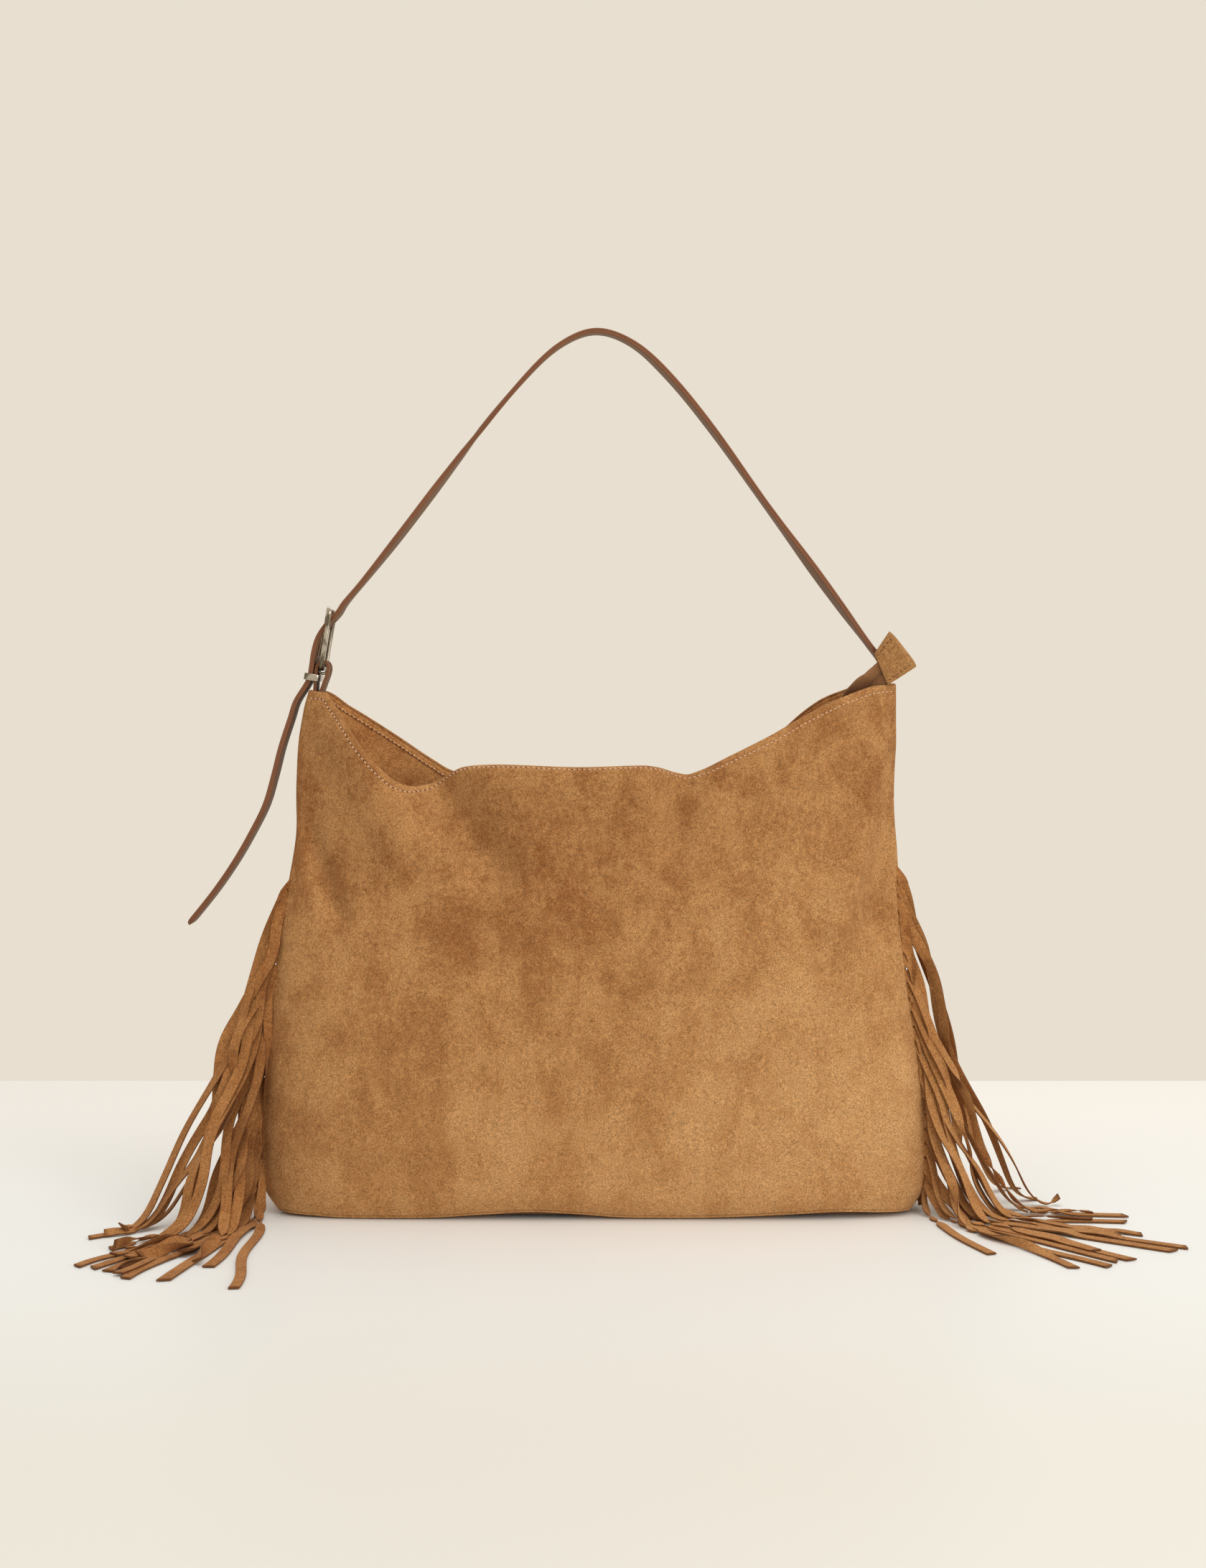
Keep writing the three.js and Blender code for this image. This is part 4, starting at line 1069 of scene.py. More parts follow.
def routeThrough(points, count, steps=400):  # a smooth line through points, sampled evenly
    points = np.asarray(points, float)
    gaps = np.maximum(np.linalg.norm(np.diff(points, axis=0), axis=1), 1e-6)
    first, last = 2 * points[0] - points[1], 2 * points[-1] - points[-2]
    ends = np.concatenate([[first], points, [last]])
    knots = np.concatenate([[gaps[0]], gaps, [gaps[-1]]]) ** 0.5
    dense = []
    for k in range(len(points) - 1):
        a, b, c, d = ends[k : k + 4]
        ta, tb, tc = knots[k : k + 3]
        startSlope = ((b - a) / ta - (c - a) / (ta + tb) + (c - b) / tb) * tb
        endSlope = ((c - b) / tb - (d - b) / (tb + tc) + (d - c) / tc) * tb
        t = np.linspace(0, 1, steps // (len(points) - 1) + 8, endpoint=False)[:, None]
        dense.append(
            b * (1 + 2 * t) * (1 - t) ** 2 + startSlope * t * (1 - t) ** 2
            + c * t**2 * (3 - 2 * t) + endSlope * t**2 * (t - 1)
        )
    dense = np.concatenate(dense + [points[-1:]])
    run = runAlong(dense)
    return sampled(dense, run, np.linspace(0, run[-1], count))


# zip: cloth panels hang from the facings, the tapes carry the coils and meet at the slider
zipShape = {
    "left": -158.0,
    "join": 52.0,
    "straightEnd": 135.0,
    "level": 231.25,
    "station": 2.5,
    "tape": 13.0,
    "tapeInner": 2.5,
    "panelGap": 0.3,
    "clothThick": 0.9,
    "shelf": 4.0,
    "openStart": 8.0,
    "openLength": 120.0,
    "openAngle": math.radians(75),
    "coilAt": 1.5,
    "coilThick": 1.5,
    "coilRound": 0.25,
    "coilReach": (0.25, 0.7),
    "toothPitch": 1.7,
    "tooth": (1.0, 1.5, 2.2),
    # the end tab's corners: mouth and far end, upper and lower
    "tabCorners": [
        [(175.0, -12.5, 347.0), (183.5, -12.5, 327.4)],
        [(184.6, -12.5, 361.4), (202.0, -12.5, 339.4)],
    ],
    "tail": [
        (135, 0, 231.25), (148, 0, 240.25), (156.5, 0, 265.1), (161.5, 0, 294.1), (164, -2, 312),
        (168.7, -7, 323.5),
    ],
    "tailInTab": 12.0,
    "tailLower": 2.0,
    "closed": 1.25,
    "curlStart": (5.0, 8.6),
    "curlLength": 3.6,
    "curlSteps": 60,
}
tabCorners = np.array(zipShape["tabCorners"])
tabMouth = tabCorners[0].mean(0)
tabAlong = unit(tabCorners[1].mean(0) - tabMouth)
tabAcross = unit(tabCorners[0, 1] - tabCorners[0, 0])
tailEnd = tabMouth + tabAcross * zipShape["tailLower"]
tailRoute = routeThrough([*zipShape["tail"], tailEnd, tailEnd + tabAlong * zipShape["tailInTab"]], 90)


# the tail's tapes close up, and the back one curls over towards the front below the tab
def tailPoints(half, away):
    shape = zipShape
    ahead = unit(np.gradient(tailRoute, axis=0))
    share = np.linspace(0, 1, len(tailRoute))[:, None]
    wide = squared(lerp(np.array([[0.0, -1.0, 0.0]]), tabAcross[None], smooth(share, 0.5, 0.8)), ahead)
    back = unit(np.cross(wide, ahead))
    short = np.sum((tailEnd - tailRoute) * tabAlong, 1, keepdims=True)  # mm before the tab's mouth
    curl = smooth(-short, -46, -14)
    away = np.maximum(away - shape["closed"] * smooth(share, 0.0, 0.15), 0)
    if half < 0:
        return tailRoute + wide * away * (1 - 0.52 * smooth(-short, -18, -3))
    lean = curl * np.radians(lerp(10, 48, smooth(short, 1, 9)))
    turnAt = lerp(*shape["curlStart"], smooth(short, 2, 14))
    point, steps = tailRoute.copy(), shape["curlSteps"]
    for k in range(steps):
        over = smooth(away * (k + 0.5) / steps, turnAt, turnAt + shape["curlLength"])
        angle = lerp(lean, -curl * math.radians(170), over)
        point += (back * np.sin(angle) - wide * np.cos(angle)) * away / steps
    return point


def facingDepth(half, x):
    z, inset = bagShape["zip"], 2.8
    side = signs(x)
    share = np.clip(np.abs(x) / (halfWidth(z, side) - inset), 0, 1)
    angle = np.arccos(share ** (bagShape["corner"] / 2))
    return np.abs(wallPoint(half, side, angle, z, inset)[..., 1])


# a share of the way from the facing to the zip: level at first, then hanging where it is open
def besideZip(half, x, away, share=1.0):
    shape = zipShape
    closedFrom = shape["join"] - shape["openStart"]
    wall, width = facingDepth(half, x), facingDepth(half, np.maximum(x, closedFrom))
    hang = shape["openAngle"] * smooth(closedFrom - x, 0, shape["openLength"])
    out = (width - away) * share
    past = np.maximum(out - shape["shelf"], 0)
    inward = np.minimum(out, shape["shelf"]) + past * np.cos(hang)
    return np.stack([x, half * (wall - inward), shape["level"] - past * np.sin(hang)], 1)


def zipStations(half, away):  # points beside the zip's middle, from the left end to the tail's tip
    x = np.arange(zipShape["left"], zipShape["straightEnd"], zipShape["station"])
    return np.concatenate([besideZip(half, x, away), tailPoints(half, away)])


def clothSheet(grid):
    rise = faceOf(grid) * zipShape["clothThick"] / 2
    return thickSheet(grid + rise, grid - rise, 2)


def zipPanel(name, half):
    x = np.arange(zipShape["left"], zipShape["straightEnd"] + 1, zipShape["station"])
    edge = zipShape["tape"] + zipShape["panelGap"]
    grid = np.stack([besideZip(half, x, edge, share) for share in np.linspace(0, 1, 15)])
    piece(f"{name}_cloth", *clothSheet(grid), "lining", standsFor=[name], slot="lining_cloth")


def zipTape(name, half):
    away = np.linspace(zipShape["tapeInner"], zipShape["tape"], 22)
    grid = np.stack([zipStations(half, value) for value in away])
    made = piece(f"{name}_cloth", *clothSheet(grid), "tape", standsFor=[name], slot="zip_tape")
    run = runAlong(grid[len(away) // 2])
    across = np.concatenate([away, away[-1:], away[-1:], away[::-1], away[:1], away[:1]])
    flat = np.stack(np.meshgrid(across, run, indexing="ij"), -1).reshape(-1, 2) * 0.001
    corner = np.zeros(len(made.data.loops), np.int32)
    made.data.loops.foreach_get("vertex_index", corner)
    layer = made.data.uv_layers.new(name="weave")
    layer.data.foreach_set("uv", flat[corner].astype(np.float32).ravel())


for word, half in (("front", -1), ("back", 1)):
    zipPanel(f"zip_panel_{word}", half)
    zipTape(f"zip_tape_{word}", half)


# small things along a path: stitches and zip teeth
def alongPathTree():
    tree = bpy.data.node_groups.new("beads_along_path", "GeometryNodeTree")
    face = tree.interface
    sockets = [("Geometry", "Geometry"), ("Pitch", "Float"), ("Size", "Vector"), ("Finish", "Material")]
    for label, kind in sockets:
        face.new_socket(label, in_out="INPUT", socket_type=f"NodeSocket{kind}")
    face.new_socket("Geometry", in_out="OUTPUT", socket_type="NodeSocketGeometry")

    def node(kind, settings=None, inputs=None):
        return addNode(tree, kind, settings, inputs).outputs

    given = node("NodeGroupInput")
    path = node("GeometryNodeMeshToCurve", None, {"Mesh": given["Geometry"]})
    spaced = {"Curve": path[0], "Length": given["Pitch"]}
    even = node("GeometryNodeResampleCurve", {"mode": "LENGTH"}, spaced)
    ahead = node("GeometryNodeInputTangent")
    lift = node("GeometryNodeInputNamedAttribute", {"data_type": "FLOAT_VECTOR"}, {"Name": "lift"})
    axes = {"primary_axis": "X", "secondary_axis": "Z"}
    turn = node("FunctionNodeAxesToRotation", axes, {0: ahead[0], 1: lift["Attribute"]})
    ball = node("GeometryNodeMeshUVSphere", None, {"Segments": 8, "Rings": 6, "Radius": 1.0})
    bead = node("GeometryNodeSetShadeSmooth", None, {0: ball[0]})
    laid = {"Points": even[0], "Instance": bead[0], "Rotation": turn[0], "Scale": given["Size"]}
    row = node("GeometryNodeInstanceOnPoints", None, laid)
    real = node("GeometryNodeRealizeInstances", None, {0: row[0]})
    painted = node("GeometryNodeSetMaterial", None, {"Geometry": real[0], "Material": given["Finish"]})
    node("NodeGroupOutput", None, {0: painted[0]})
    return tree


beadTree = alongPathTree()


def beads(name, paths, pitch, size, paint, slot=None):  # paths: (points, lifts) in mm
    mesh = bpy.data.meshes.new(name)
    points, lifts = (np.concatenate(parts) for parts in zip(*paths))
    edges, start = [], 0
    for line, _ in paths:
        edges += [(start + k, start + k + 1) for k in range(len(line) - 1)]
        start += len(line)
    mesh.from_pydata((points * 0.001).tolist(), edges, [])
    layer = mesh.attributes.new("lift", "FLOAT_VECTOR", "POINT")
    layer.data.foreach_set("vector", lifts.astype(np.float32).ravel())
    made = put(name, mesh)
    chain = made.modifiers.new("beads", "NODES")
    chain.node_group = beadTree
    given = {"Pitch": pitch * 0.001, "Size": [value * 0.0005 for value in size], "Finish": paints[paint]}
    for item in beadTree.interface.items_tree:
        if item.name in given:
            chain[item.identifier] = given[item.name]
    made.update_tag()
    bakeModifiers(made)
    dress(made, paint, slot=slot, smooth=80)


def zipCoil(name, half):
    shape = zipShape
    middle = zipStations(half, shape["coilAt"])
    wide = unit(zipStations(half, shape["coilAt"] + 2.5) - middle)
    lift = unit(np.cross(np.gradient(middle, axis=0), wide))
    lift *= signs(lift[:, 2:])
    inner, outer = shape["coilReach"]
    core = ribbonRings(middle - wide * inner, middle + wide * outer, shape["coilThick"], shape["coilRound"])
    piece(f"{name}_core", *tube(core), "coil", standsFor=[name], slot="zip_coil")
    beads(f"{name}_teeth", [(middle, lift)], shape["toothPitch"], shape["tooth"], "coil", slot="zip_coil")


zipCoil("zip_coil_front", -1)
zipCoil("zip_coil_back", 1)
print("zip tapes and coils made")


# strap and buckle: the buckle's own axes stand on the heel bar, above the left peak
buckleShape = {
    "heel": (-170.9, 0.0, 337.6),
    "tilt": math.radians(9.5),
    "length": 36.0,
    "bar": 3.0,
    "thick": 2.8,
    "corner": 4.2,
    "barRound": 1.05,
    "window": 10.0,
    "prongWidth": 3.6,
    "prongThick": 2.2,
    "prongOffset": 2.75,
    "eyeHole": 2.2,
    "slot": (6.0, 32.5, 4.6),
}
leftPeak, rightPeak = np.array([-178.5, 0, 324]), np.array([188.5, 0, 328])
heel = np.array(buckleShape["heel"])
frameAlong = np.array([math.sin(buckleShape["tilt"]), 0, math.cos(buckleShape["tilt"])])
frameOut = np.array([-math.cos(buckleShape["tilt"]), 0, math.sin(buckleShape["tilt"])])
frameSide = np.array([0.0, 1.0, 0.0])


def onBuckle(along, out, aside=0.0):
    along, out, aside = (np.asarray(a, float)[..., None] for a in (along, out, aside))
    return heel + along * frameAlong + out * frameOut + aside * frameSide


def insideGusset(side, z, away):
    return np.array([wallPoint(-1, side, 0.0, z, 2.0)[..., 0] - side * away, 0, z])


strapShape = {
    "width": 18.0,
    "thick": 3.0,
    "crest": (1.0, 0.0, 549.3),
    "rightEntry": (173.3, 0.0, 351.7),
    "rightArch": [
        (0.078, 0.091), (0.233, 0.274), (0.387, 0.456), (0.535, 0.637), (0.614, 0.728), (0.699, 0.819),
        (0.796, 0.908), (0.857, 0.953),
    ],
    "leftArch": [
        (0.857, 0.946), (0.789, 0.894), (0.683, 0.79), (0.586, 0.686), (0.408, 0.476), (0.232, 0.267),
        (0.1, 0.117),
    ],
    "overBuckle": [(27, 1.6), (19, 5.2), (10, 6.5), (0, 6.4), (-8, 6.7)],
    "tail": [
        (-8.9, -7.5), (-12.2, -17.5), (-18.2, -35.6), (-22.9, -53.7), (-28.4, -72), (-37.4, -90),
        (-48, -108.2), (-60.6, -126.4), (-77.8, -147.9),
    ],
    # degrees that the strap is turned to show its inner face, at places along the arch from right to left
    "turns": [
        (-260, 0), (-165, 0), (-150, -3), (-123, 1.6), (-105, 2), (-85, -2), (-69, -8.5), (-41, -6),
        (0, -4), (20, -2), (45, 2), (67, 2), (105, -1), (115, 0), (140, 6), (155, 4), (173, -2),
        (180, 0),
    ],
    "stations": 420,
    "roundEnd": 5.0,
}


def strapRoute():
    shape = strapShape
    crest, entry = np.array(shape["crest"]), np.array(shape["rightEntry"])
    buckleEntry = onBuckle(buckleShape["length"], -4.3)

    def onArch(start, share):
        return np.array([lerp(start[0], crest[0], share[0]), 0, lerp(start[2], crest[2], share[1])])

    points = [insideGusset(1, rightPeak[2] - down, 3.0) for down in (30, 15, 0)]
    points += [rightPeak + (-7, 0, 12.5), entry]
    points += [*[onArch(entry, share) for share in shape["rightArch"]], crest]
    points += [onArch(buckleEntry, share) for share in shape["leftArch"]]
    points += [onBuckle(42, -6.8), buckleEntry, *[onBuckle(*spot) for spot in shape["overBuckle"]]]
    points += [leftPeak + (x, 0, z) for x, z in shape["tail"]]
    line = routeThrough(points, shape["stations"], 2400)
    upper = smooth(line[1:-1, 2:], 430, 470)
    for _ in range(30):  # evens out the arch
        line[1:-1] += upper * (line[:-2] + line[2:] - 2 * line[1:-1]) / 4
    return line


# two layers with rounded, dyed edges and a fine groove between them
def leatherRings(line, wide, width, thick, groove=0.3):
    ahead = unit(np.gradient(line, axis=0))
    wide = squared(wide, ahead)
    face = unit(np.cross(ahead, wide))
    half, rise = width / 2, thick / 2
    side = [(half - groove, 0), (half - 0.05, 0.28), (half, 0.6 * rise)]
    side += [(half - 0.12, 0.86 * rise), (half - 0.5, rise)]
    top = [(share * (half - 0.5), rise + 0.05 * (1 - share**2)) for share in (0.8, 0.4, 0.0, -0.4, -0.8)]
    upper = side + top + [(-x, up) for x, up in side[::-1]]
    section = upper + [(x, -up) for x, up in upper[::-1][1:-1]]
    dark = [abs(x) > half - 0.45 for x, _ in section]
    flesh = [up > 0.9 * rise for _, up in section]
    return np.stack([line + wide * x + face * up for x, up in section], 1), dark, flesh


def leatherPiece(name, line, wide, shape, roundEnd=0.0):
    rings, dark, flesh = leatherRings(line, wide, shape["width"], shape["thick"])
    if roundEnd:  # the free end is cut to a soft half round
        run = runAlong(line)
        left = np.clip((run[-1] - run) / roundEnd, 0.02, 1)
        narrow = np.sqrt(1 - (1 - left) ** 2)[:, None, None]
        rings = line[:, None] + (rings - line[:, None]) * lerp(0.18, 1.0, narrow)
    skin = tube(rings)
    made = piece(f"{name}_leather", *skin, "leather", standsFor=[name], slot="strap_leather", smooth=50)
    mark(made, "cutEdge", np.tile(dark, len(rings)))
    mark(made, "flesh", np.tile(flesh, len(rings)))
    return made


def cutSlot(made, start, end, halfSide, low, high):  # a slot with rounded ends, on the buckle's axes
    turns = np.linspace(-quarter, quarter, 9)
    x, y = halfSide * np.cos(turns), halfSide * np.sin(turns)
    x = np.concatenate([end - halfSide + x, start + halfSide - x])
    y = np.concatenate([y, -y])
    rings = np.stack([onBuckle(x, out, y) for out in (low, high)])
    cutter = put("cutter", solidMesh("cutter", *tube(rings)))
    take = made.modifiers.new("take", "BOOLEAN")
    take.operation = "DIFFERENCE"
    take.solver = "EXACT"
    take.object = cutter
    bakeModifiers(made)
    made.data.set_sharp_from_angle(angle=math.radians(50))
    bpy.data.objects.remove(cutter)


def shoulderStrap():
    shape = strapShape
    line = strapRoute()
    twist = np.radians(curveThrough(shape["turns"])(line[:, 0]))[:, None]
    across = np.tile(frameSide, (len(line), 1))
    wide = across * np.cos(twist) + np.cross(unit(np.gradient(line, axis=0)), across) * np.sin(twist)
    made = leatherPiece("shoulder_strap", line, wide, shape, shape["roundEnd"])
    start, end, width = buckleShape["slot"]
    cutSlot(made, start, end, width / 2, -3.3, 13.2)


loopShape = {
    "width": 16.0,
    "thick": 2.0,
    "stations": 150,
    # how far below the peak the legs end and bend, and how far inside the gusset each leg lies
    "legs": (30, 8),
    "inside": (2.5, 4.8),
    "bend": [
        (-9, 2.6), (-2, 3.3), (2.4, 2.6), (4.4, 0.2), (3.8, -2.4), (1.2, -3.9), (-3, -3.9), (-8, -3.0),
    ],
    "slot": (-3.85, 7.7, 2.25, -7.7, 7.7),
}


def buckleLoop():
    shape = loopShape
    legs = leftPeak[2] - np.array(shape["legs"])
    outer, inner = ([insideGusset(-1, z, away) for z in legs] for away in shape["inside"])
    points = outer + [onBuckle(*spot) for spot in shape["bend"]] + inner[::-1]
    line = routeThrough(points, shape["stations"], 1200)
    across = np.tile(frameSide, (len(line), 1))
    made = leatherPiece("buckle_loop", line, across, shape)
    cutSlot(made, *shape["slot"])


shoulderStrap()
buckleLoop()
print("strap and loop made")


def roundedPath(halfX, halfY, radius, perCorner):  # a closed rounded rectangle about the origin
    path = []
    for signX, signY, start in ((1, -1, -quarter), (1, 1, 0), (-1, 1, quarter), (-1, -1, math.pi)):
        turns = np.linspace(start, start + quarter, perCorner)
        middle = (signX * (halfX - radius), signY * (halfY - radius))
        path.append(middle + radius * np.stack([np.cos(turns), np.sin(turns)], 1))
    return np.concatenate(path)


# a closed ring: section points lie out of the path and up, and place turns flat x y z into space
def sweptRing(path, section, place):
    ahead = unit(np.roll(path, -1, 0) - np.roll(path, 1, 0))
    outward = np.stack([ahead[:, 1], -ahead[:, 0]], 1)
    rings = []
    for out, up in section:
        flat = path + outward * out
        rings.append(place(flat[:, 0], flat[:, 1], np.full(len(path), up)))
    grid = np.stack(rings, 1)
    return grid.reshape(-1, 3), quads(len(path), len(section), turnRows=True, turnCols=True)


def metalPiece(name, points, faces, body, smooth):
    piece(f"{name}_metal", points, faces, "metal", body, [name], "metal", smooth)


def buckleFrame():
    shape = buckleShape
    halfX, halfY = shape["length"] / 2, shape["window"] + shape["bar"] / 2
    path = roundedPath(halfX, halfY, shape["corner"], 10)
    section = roundedPath(shape["bar"] / 2, shape["thick"] / 2, shape["barRound"], 5)
    grid = sweptRing(path, section, lambda x, y, up: onBuckle(x + halfX, up, y))
    metalPiece("buckle_frame", *grid, "buckle", 60)


def buckleProng():
    shape = buckleShape
    half, thick = shape["prongWidth"] / 2, shape["prongThick"]
    rim = thick / 2 - 0.2
    radius = shape["eyeHole"] + 0.05 + rim
    turns = np.linspace(0, 2 * math.pi, 36, endpoint=False)
    path = np.stack([radius * np.cos(turns), radius * np.sin(turns)], 1)
    eye = sweptRing(path, roundedPath(rim, half, 0.7, 4), onBuckle)
    reach = shape["length"] + shape["bar"]
    x = np.linspace(0.6, reach, 40)
    tip = np.sqrt(np.maximum(1 - ((x - reach + 2) / 2.2) ** 2, 0.05))
    taper = lerp(1.0, 0.82, smooth(x, 8, reach)) * np.where(x > reach - 2, tip, 1)
    rings = []
    for across, up in roundedPath(half, thick / 2 - 0.02, 0.75, 4):
        rings.append(onBuckle(x, shape["prongOffset"] + up * np.minimum(taper + 0.1, 1), across * taper))
    metalPiece("buckle_prong", *joined([eye, tube(np.stack(rings, 1))]), "prong", 60)


# half sizes and corner radius of the keeper's path and of its band
keeperShape = {"at": (-6.4, 5.0), "path": (10.1, 4.3, 1.7), "band": (0.6, 2.1, 0.35)}


def strapKeeper():
    at, out = keeperShape["at"]
    path, section = roundedPath(*keeperShape["path"], 7), roundedPath(*keeperShape["band"], 4)
    grid = sweptRing(path, section, lambda y, away, up: onBuckle(at + up, out + away, y))
    metalPiece("strap_keeper", *grid, "bag", 60)


buckleFrame()
buckleProng()
strapKeeper()
print("buckle made")


# slider and puller: drawn about the slider's middle, on the zip's line
sliderShape = {
    "at": (52.0, 231.25),
    "length": 13.0,
    "width": 9.0,
    "low": 1.5,
    "plate": 1.2,
    "bevel": 0.35,
    "web": (3.9, 0.5),
    "bridgeHalf": 1.1,
    "pivot": 3.8,
}


def onZip(x, y, up):
    return np.stack([x + sliderShape["at"][0], y, up + sliderShape["at"][1]], -1)


def plate(outline, low, high, bevel):  # a flat plate with softened edges
    ahead = np.roll(outline, -1, 0) - np.roll(outline, 1, 0)
    inward = unit(np.stack([-ahead[:, 1], ahead[:, 0]], 1))
    x, y = outline.T
    inward *= np.sign(np.sum(x * np.roll(y, -1) - np.roll(x, -1) * y))
    small = bevel * 0.3
    levels = [(bevel, low), (small, low + small), (0, low + bevel)]
    levels += [(0, high - bevel), (small, high - small), (bevel, high)]
    rings = []
    for pulled, up in levels:
        x, y = (outline + inward * pulled).T
        rings.append(onZip(x, y, np.full(len(x), up)))
    return tube(np.stack(rings))


def zipSlider():
    shape = sliderShape
    half, wide = shape["length"] / 2, shape["width"] / 2
    along = np.linspace(0, 1, 12)
    edge = wide * (0.66 + 0.34 * np.sin(quarter * smooth(along, 0.05, 0.7)))
    top = np.stack([lerp(half, -half, along), edge], 1)
    outline = np.concatenate([top, (top * [1, -1])[::-1]])
    low, high = shape["low"], shape["low"] + shape["plate"]
    web = np.array([(-1, -1), (1, -1), (1, 1), (-1, 1)]) * shape["web"]
    parts = [plate(outline, low, high, shape["bevel"]), plate(outline, -high, -low, shape["bevel"])]
    parts.append(plate(web, -low - 0.1, low + 0.1, 0.05))
    turns = np.linspace(0, math.pi, 15)
    foot, deep = high - 0.2, shape["bridgeHalf"]
    over = [(-1.7 * math.cos(t), high + 1.1 + 2.3 * math.sin(t) ** 0.8) for t in turns]
    under = [(-1.1 * math.cos(t), high + 1.0 + 1.2 * math.sin(t)) for t in turns]
    over = np.array([(-2.3, foot), *over, (2.3, foot)])
    under = np.array([(-1.1, foot), *under, (1.1, foot)])
    corners = ((over, -deep), (over, deep), (under, deep), (under, -deep))
    bridge = [onZip(line[:, 0], np.full(len(line), y), line[:, 1]) for line, y in corners]
    parts.append(tube(np.stack(bridge, 1)))
    metalPiece("zip_slider", *joined(parts), "zip_slider", 50)


pullerShape = {
    "eye": (-2.35, 0),
    "body": (-11.3, 0),
    "window": (1.75, 2.0, 0.8),
    "outline": (12.0, 3.5, 3.2),
    # how far each edge is drawn in and how high, from the top to half way down
    "rim": [(0.3, 0.7), (0.08, 0.58), (0, 0.35)],
    "hole": [(-0.2, -0.7), (0, -0.5)],
}


def zipPuller():
    shape = pullerShape
    eye, body = np.array(shape["eye"]), np.array(shape["body"])
    window = roundedPath(*shape["window"], 5) + eye
    outer = roundedPath(*shape["outline"], 5) + body
    outer[:, 1] *= lerp(0.78, 1.0, smooth(-outer[:, 0], 2, 20))
    # match the window's points to the outline's by angle about the window's middle
    window, outer = (line[np.argsort(np.arctan2(*(line - eye).T[::-1]))] for line in (window, outer))
    rings = []
    for line, middle, section in ((outer, body, shape["rim"]), (window, eye, shape["hole"])):
        for pulled, up in section + [(pulled, -up) for pulled, up in section[::-1]]:
            x, y = (line - unit(line - middle) * pulled).T
            rings.append(onZip(x, y, np.full(len(x), sliderShape["pivot"] + up)))
    faces = quads(len(rings), len(outer), turnRows=True, turnCols=True)
    metalPiece("zip_puller", np.concatenate(rings), faces, "zip_puller", 40)


zipSlider()
zipPuller()


# end tab: a square of suede folded over the joined tapes and sewn down both sides
tabShape = {"width": 20.3, "length": 18.6, "leaf": 1.3, "slot": 1.45, "stitchIn": 2.4}
tabFace = unit(np.cross(tabAcross, tabAlong))


def tabPoint(across, along, out):
    across, along, out = (np.asarray(a, float)[..., None] for a in (across, along, out))
    across, along = across / tabShape["width"] + 0.5, along / tabShape["length"]
    mouth, end = (lerp(*corners, across) for corners in tabCorners)
    return lerp(mouth, end, along) + out * tabFace


def tabGap(across):  # half the room between the two leaves
    share = np.abs(across) / (tabShape["width"] / 2 + 0.2)
    return tabShape["slot"] * np.sqrt(np.clip(1 - share**4, 0.02, 1))


def endTab():
    shape = tabShape
    across = np.linspace(-shape["width"] / 2, shape["width"] / 2, 29)
    turns = np.linspace(quarter, -quarter, 11)
    straight = np.linspace(0, 1, 14, endpoint=False)
    stop = shape["length"] - shape["slot"] - shape["leaf"]

    def leaf(extra):
        size = tabGap(across) + extra
        rows = [tabPoint(across, stop * s, size) for s in straight]
        rows += [tabPoint(across, stop + size * math.cos(t), size * math.sin(t)) for t in turns]
        return np.stack(rows + [tabPoint(across, stop * s, -size) for s in straight[::-1]])

    suedePiece("zip_end_tab", thickSheet(leaf(shape["leaf"]), leaf(0.0)), "tab")


endTab()


# topstitching: along the rim outside and inside, and down both sides of the tab
stitchLook = {
    "pitch": 3.1,
    "size": (2.2, 0.95, 0.95),
    "sink": 0.1,
    "hole": (1.0, 1.0, 0.7),
    "tabPitch": 2.6,
    "tabSize": (1.7, 0.6, 0.6),
}


def rimPath(half, depth, limit):  # the stitch row of a panel's face, or of the facing behind it
    columns = panelColumns(500)
    outer, face = panelFace(half, columns)
    row = len(outer) - len(rimRows) + int(np.argmin(np.abs(rimRows - panelMesh["stitchBelow"])))
    keep = np.abs(columns[2]) < limit
    line, out = outer[row, keep], face[row, keep]
    if depth:
        return line - out * (depth - stitchLook["sink"]), -out
    return line + out * stitchLook["sink"], out


def tabPath(edge, face):
    shape = tabShape
    across = edge * (shape["width"] / 2 - shape["stitchIn"])
    along = np.linspace(1.5, shape["length"] - 4, 12)
    out = face * (tabGap(across) + shape["leaf"] + 0.05)
    return tabPoint(across, along, out), np.tile(tabFace * face, (12, 1))


def later(path, start):  # the same path, begun a little further on
    run = runAlong(path[0])
    at = np.linspace(start, run[-1], len(run))
    return tuple(sampled(part, run, at) for part in path)


inside = facingLook["away"] + facingLook["thick"]
rows = [rimPath(half, depth, limit) for half in (-1, 1) for depth, limit in ((0, 0.985), (inside, 0.95))]
# dark beads between the stitches: painted shade in the needle holes
holes = [later(path, stitchLook["pitch"] / 2) for path in rows]
beads("rim_topstitching", rows, stitchLook["pitch"], stitchLook["size"], "thread")
beads("rim_needle_holes", holes, stitchLook["pitch"], stitchLook["hole"], "hole")
tabRows = [tabPath(edge, face) for edge in (-1, 1) for face in (-1, 1)]
beads("end_tab_topstitching", tabRows, stitchLook["tabPitch"], stitchLook["tabSize"], "tabThread")
print("stitches made")


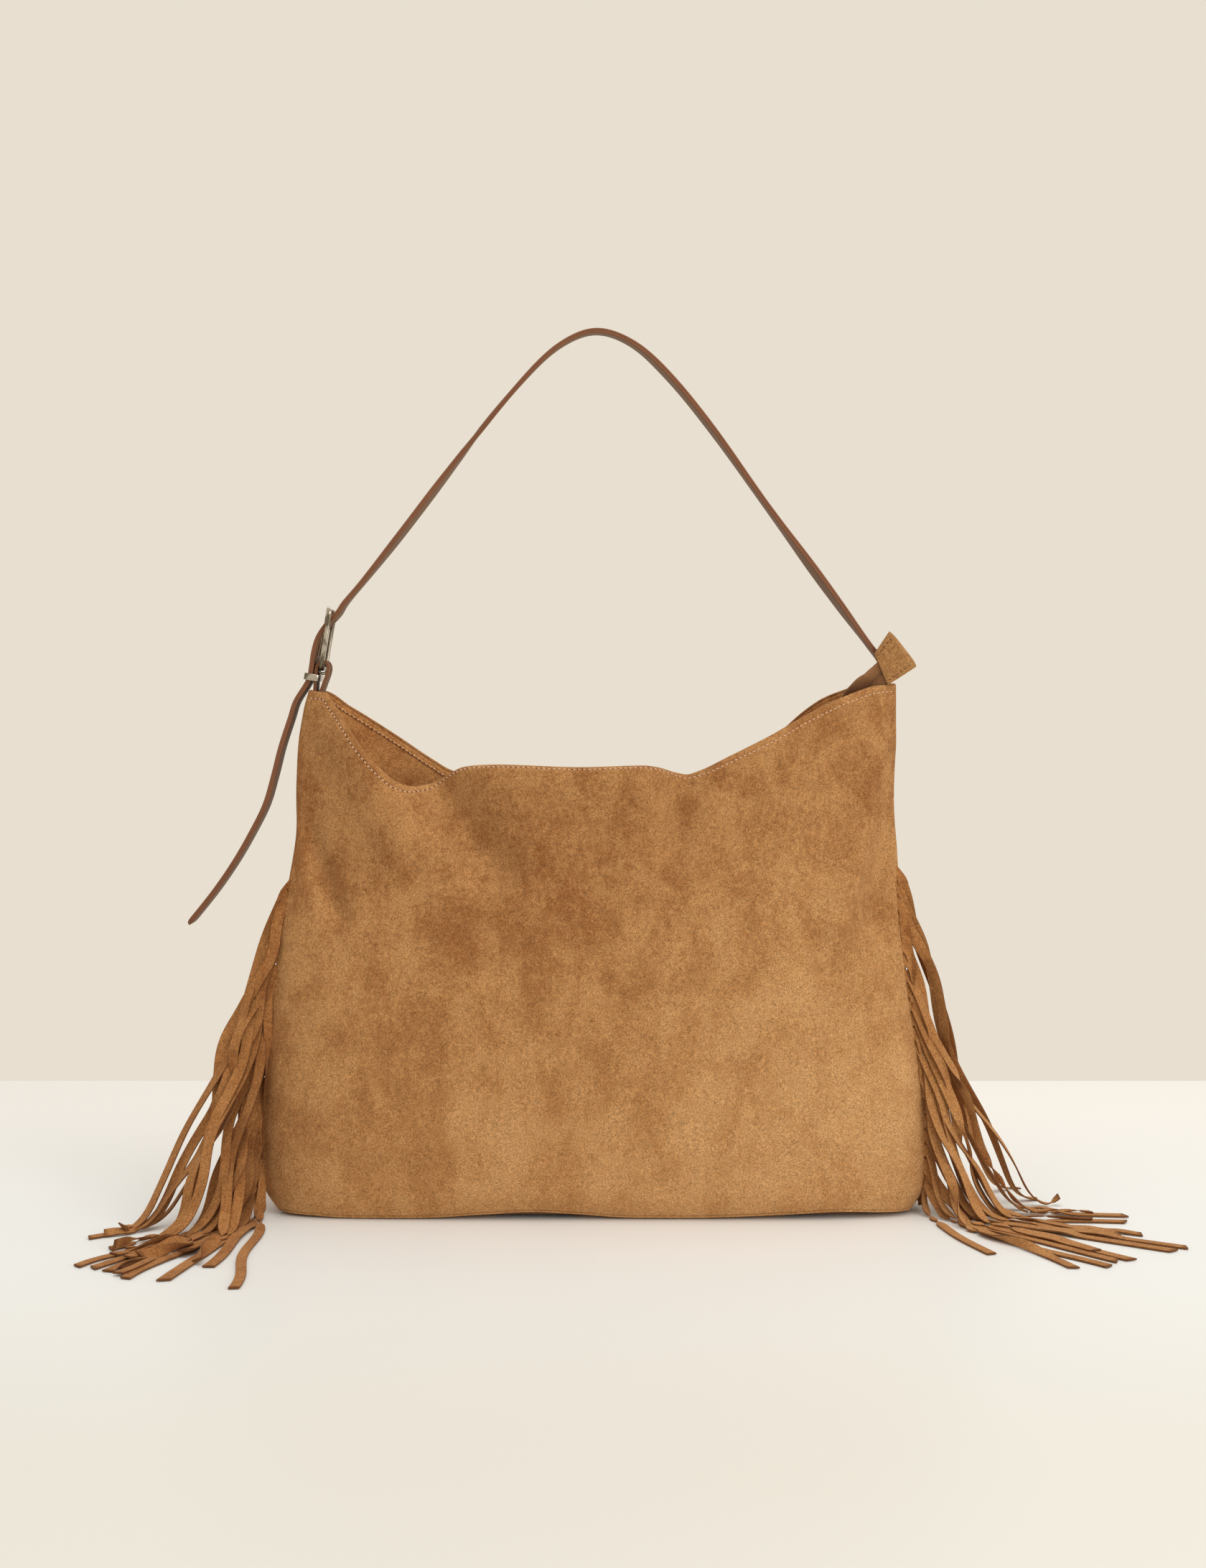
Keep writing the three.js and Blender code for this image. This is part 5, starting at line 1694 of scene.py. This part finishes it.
# stage, light and camera
stageLook = {
    "camera": (0.0054, -1.35, 0.32),
    "pitch": 2.34,
    "lens": 2981 / 2184 * 36,
    "floorHalf": 3.0,
    "floorLevel": -0.0004,
    "farEdge": 0.424,
    "wall": (232, 223, 208),
    # the floor is painted darker near the camera and lighter towards the back: painted fall-off of the
    # light
    "floorNear": (231, 227, 215),
    "floorMiddle": (239, 239, 233),
    "floorFar": (253, 248, 239),
    "softLight": {"Color": (1.0, 0.99, 0.98, 1.0), "Strength": 0.62},
    # softboxes: where, aimed at, size and power
    "overhead": ((0.1, -0.4, 1.9), (0, 0, 0.1), (1.8, 1.5), 17),
    "front_fill": ((1.4, -1.5, 0.7), (0, 0, 0.25), (1.0, 0.9), 11.5),
}


def stagePaint():
    paint = Paint("pale_floor")
    back = paint.part(paint.place(), "y")
    near, middle, far = (tone(*stageLook[key]) for key in ("floorNear", "floorMiddle", "floorFar"))
    # painted light fall-off: darker at the front, lighter at the back
    colour = paint.mix(back.over(-0.2, 0.4), paint.mix(back.over(-0.5, -0.12), near, middle), far)
    paint.set(Base_Color=colour, Roughness=0.45, Specular_IOR_Level=0.3)
    return paint.material


def buildFloor():
    wide, far, level = (stageLook[key] for key in ("floorHalf", "farEdge", "floorLevel"))
    mesh = bpy.data.meshes.new("floor")
    corners = [(-wide, -wide, level), (wide, -wide, level), (wide, far, level), (-wide, far, level)]
    mesh.from_pydata(corners, [], [(0, 1, 2, 3)])
    mesh.materials.append(stagePaint())
    put("floor", mesh)


def buildWorld():  # the wall's colour where it is seen or mirrored, and a soft white light elsewhere
    world = bpy.data.worlds.new("studio")
    bpy.context.scene.world = world
    world.use_nodes = True
    tree = world.node_tree
    tree.nodes.clear()

    def node(kind, inputs=None, settings=None):
        return addNode(tree, kind, settings, inputs).outputs

    def larger(first, second):
        return node("ShaderNodeMath", {0: first, 1: second}, {"operation": "MAXIMUM"})[0]

    rays = node("ShaderNodeLightPath")
    shiny = larger(rays["Is Glossy Ray"], rays["Is Transmission Ray"])
    soft = node("ShaderNodeBackground", stageLook["softLight"])
    seen = node("ShaderNodeBackground", {"Color": tone(*stageLook["wall"])})
    swap = node("ShaderNodeMixShader", {0: larger(rays["Is Camera Ray"], shiny), 1: soft[0], 2: seen[0]})
    node("ShaderNodeOutputWorld", {"Surface": swap[0]})


def softbox(name):
    at, aim, size, power = stageLook[name]
    lamp = bpy.data.lights.new(name, "AREA")
    lamp.shape = "RECTANGLE"
    lamp.size, lamp.size_y = size
    lamp.energy = power
    box = put(name, lamp)
    box.location = at
    box.rotation_euler = (Vector(aim) - Vector(at)).to_track_quat("-Z", "Y").to_euler()


def buildCamera():
    eye = bpy.data.cameras.new("camera")
    eye.lens = stageLook["lens"]
    eye.sensor_width = 36
    camera = put("camera", eye)
    camera.location = stageLook["camera"]
    camera.rotation_euler = (math.radians(90 - stageLook["pitch"]), 0, 0)
    bpy.context.scene.camera = camera
    bpy.context.scene.view_settings.view_transform = "Standard"


buildFloor()
buildWorld()
softbox("overhead")
softbox("front_fill")
buildCamera()
print("stage made")
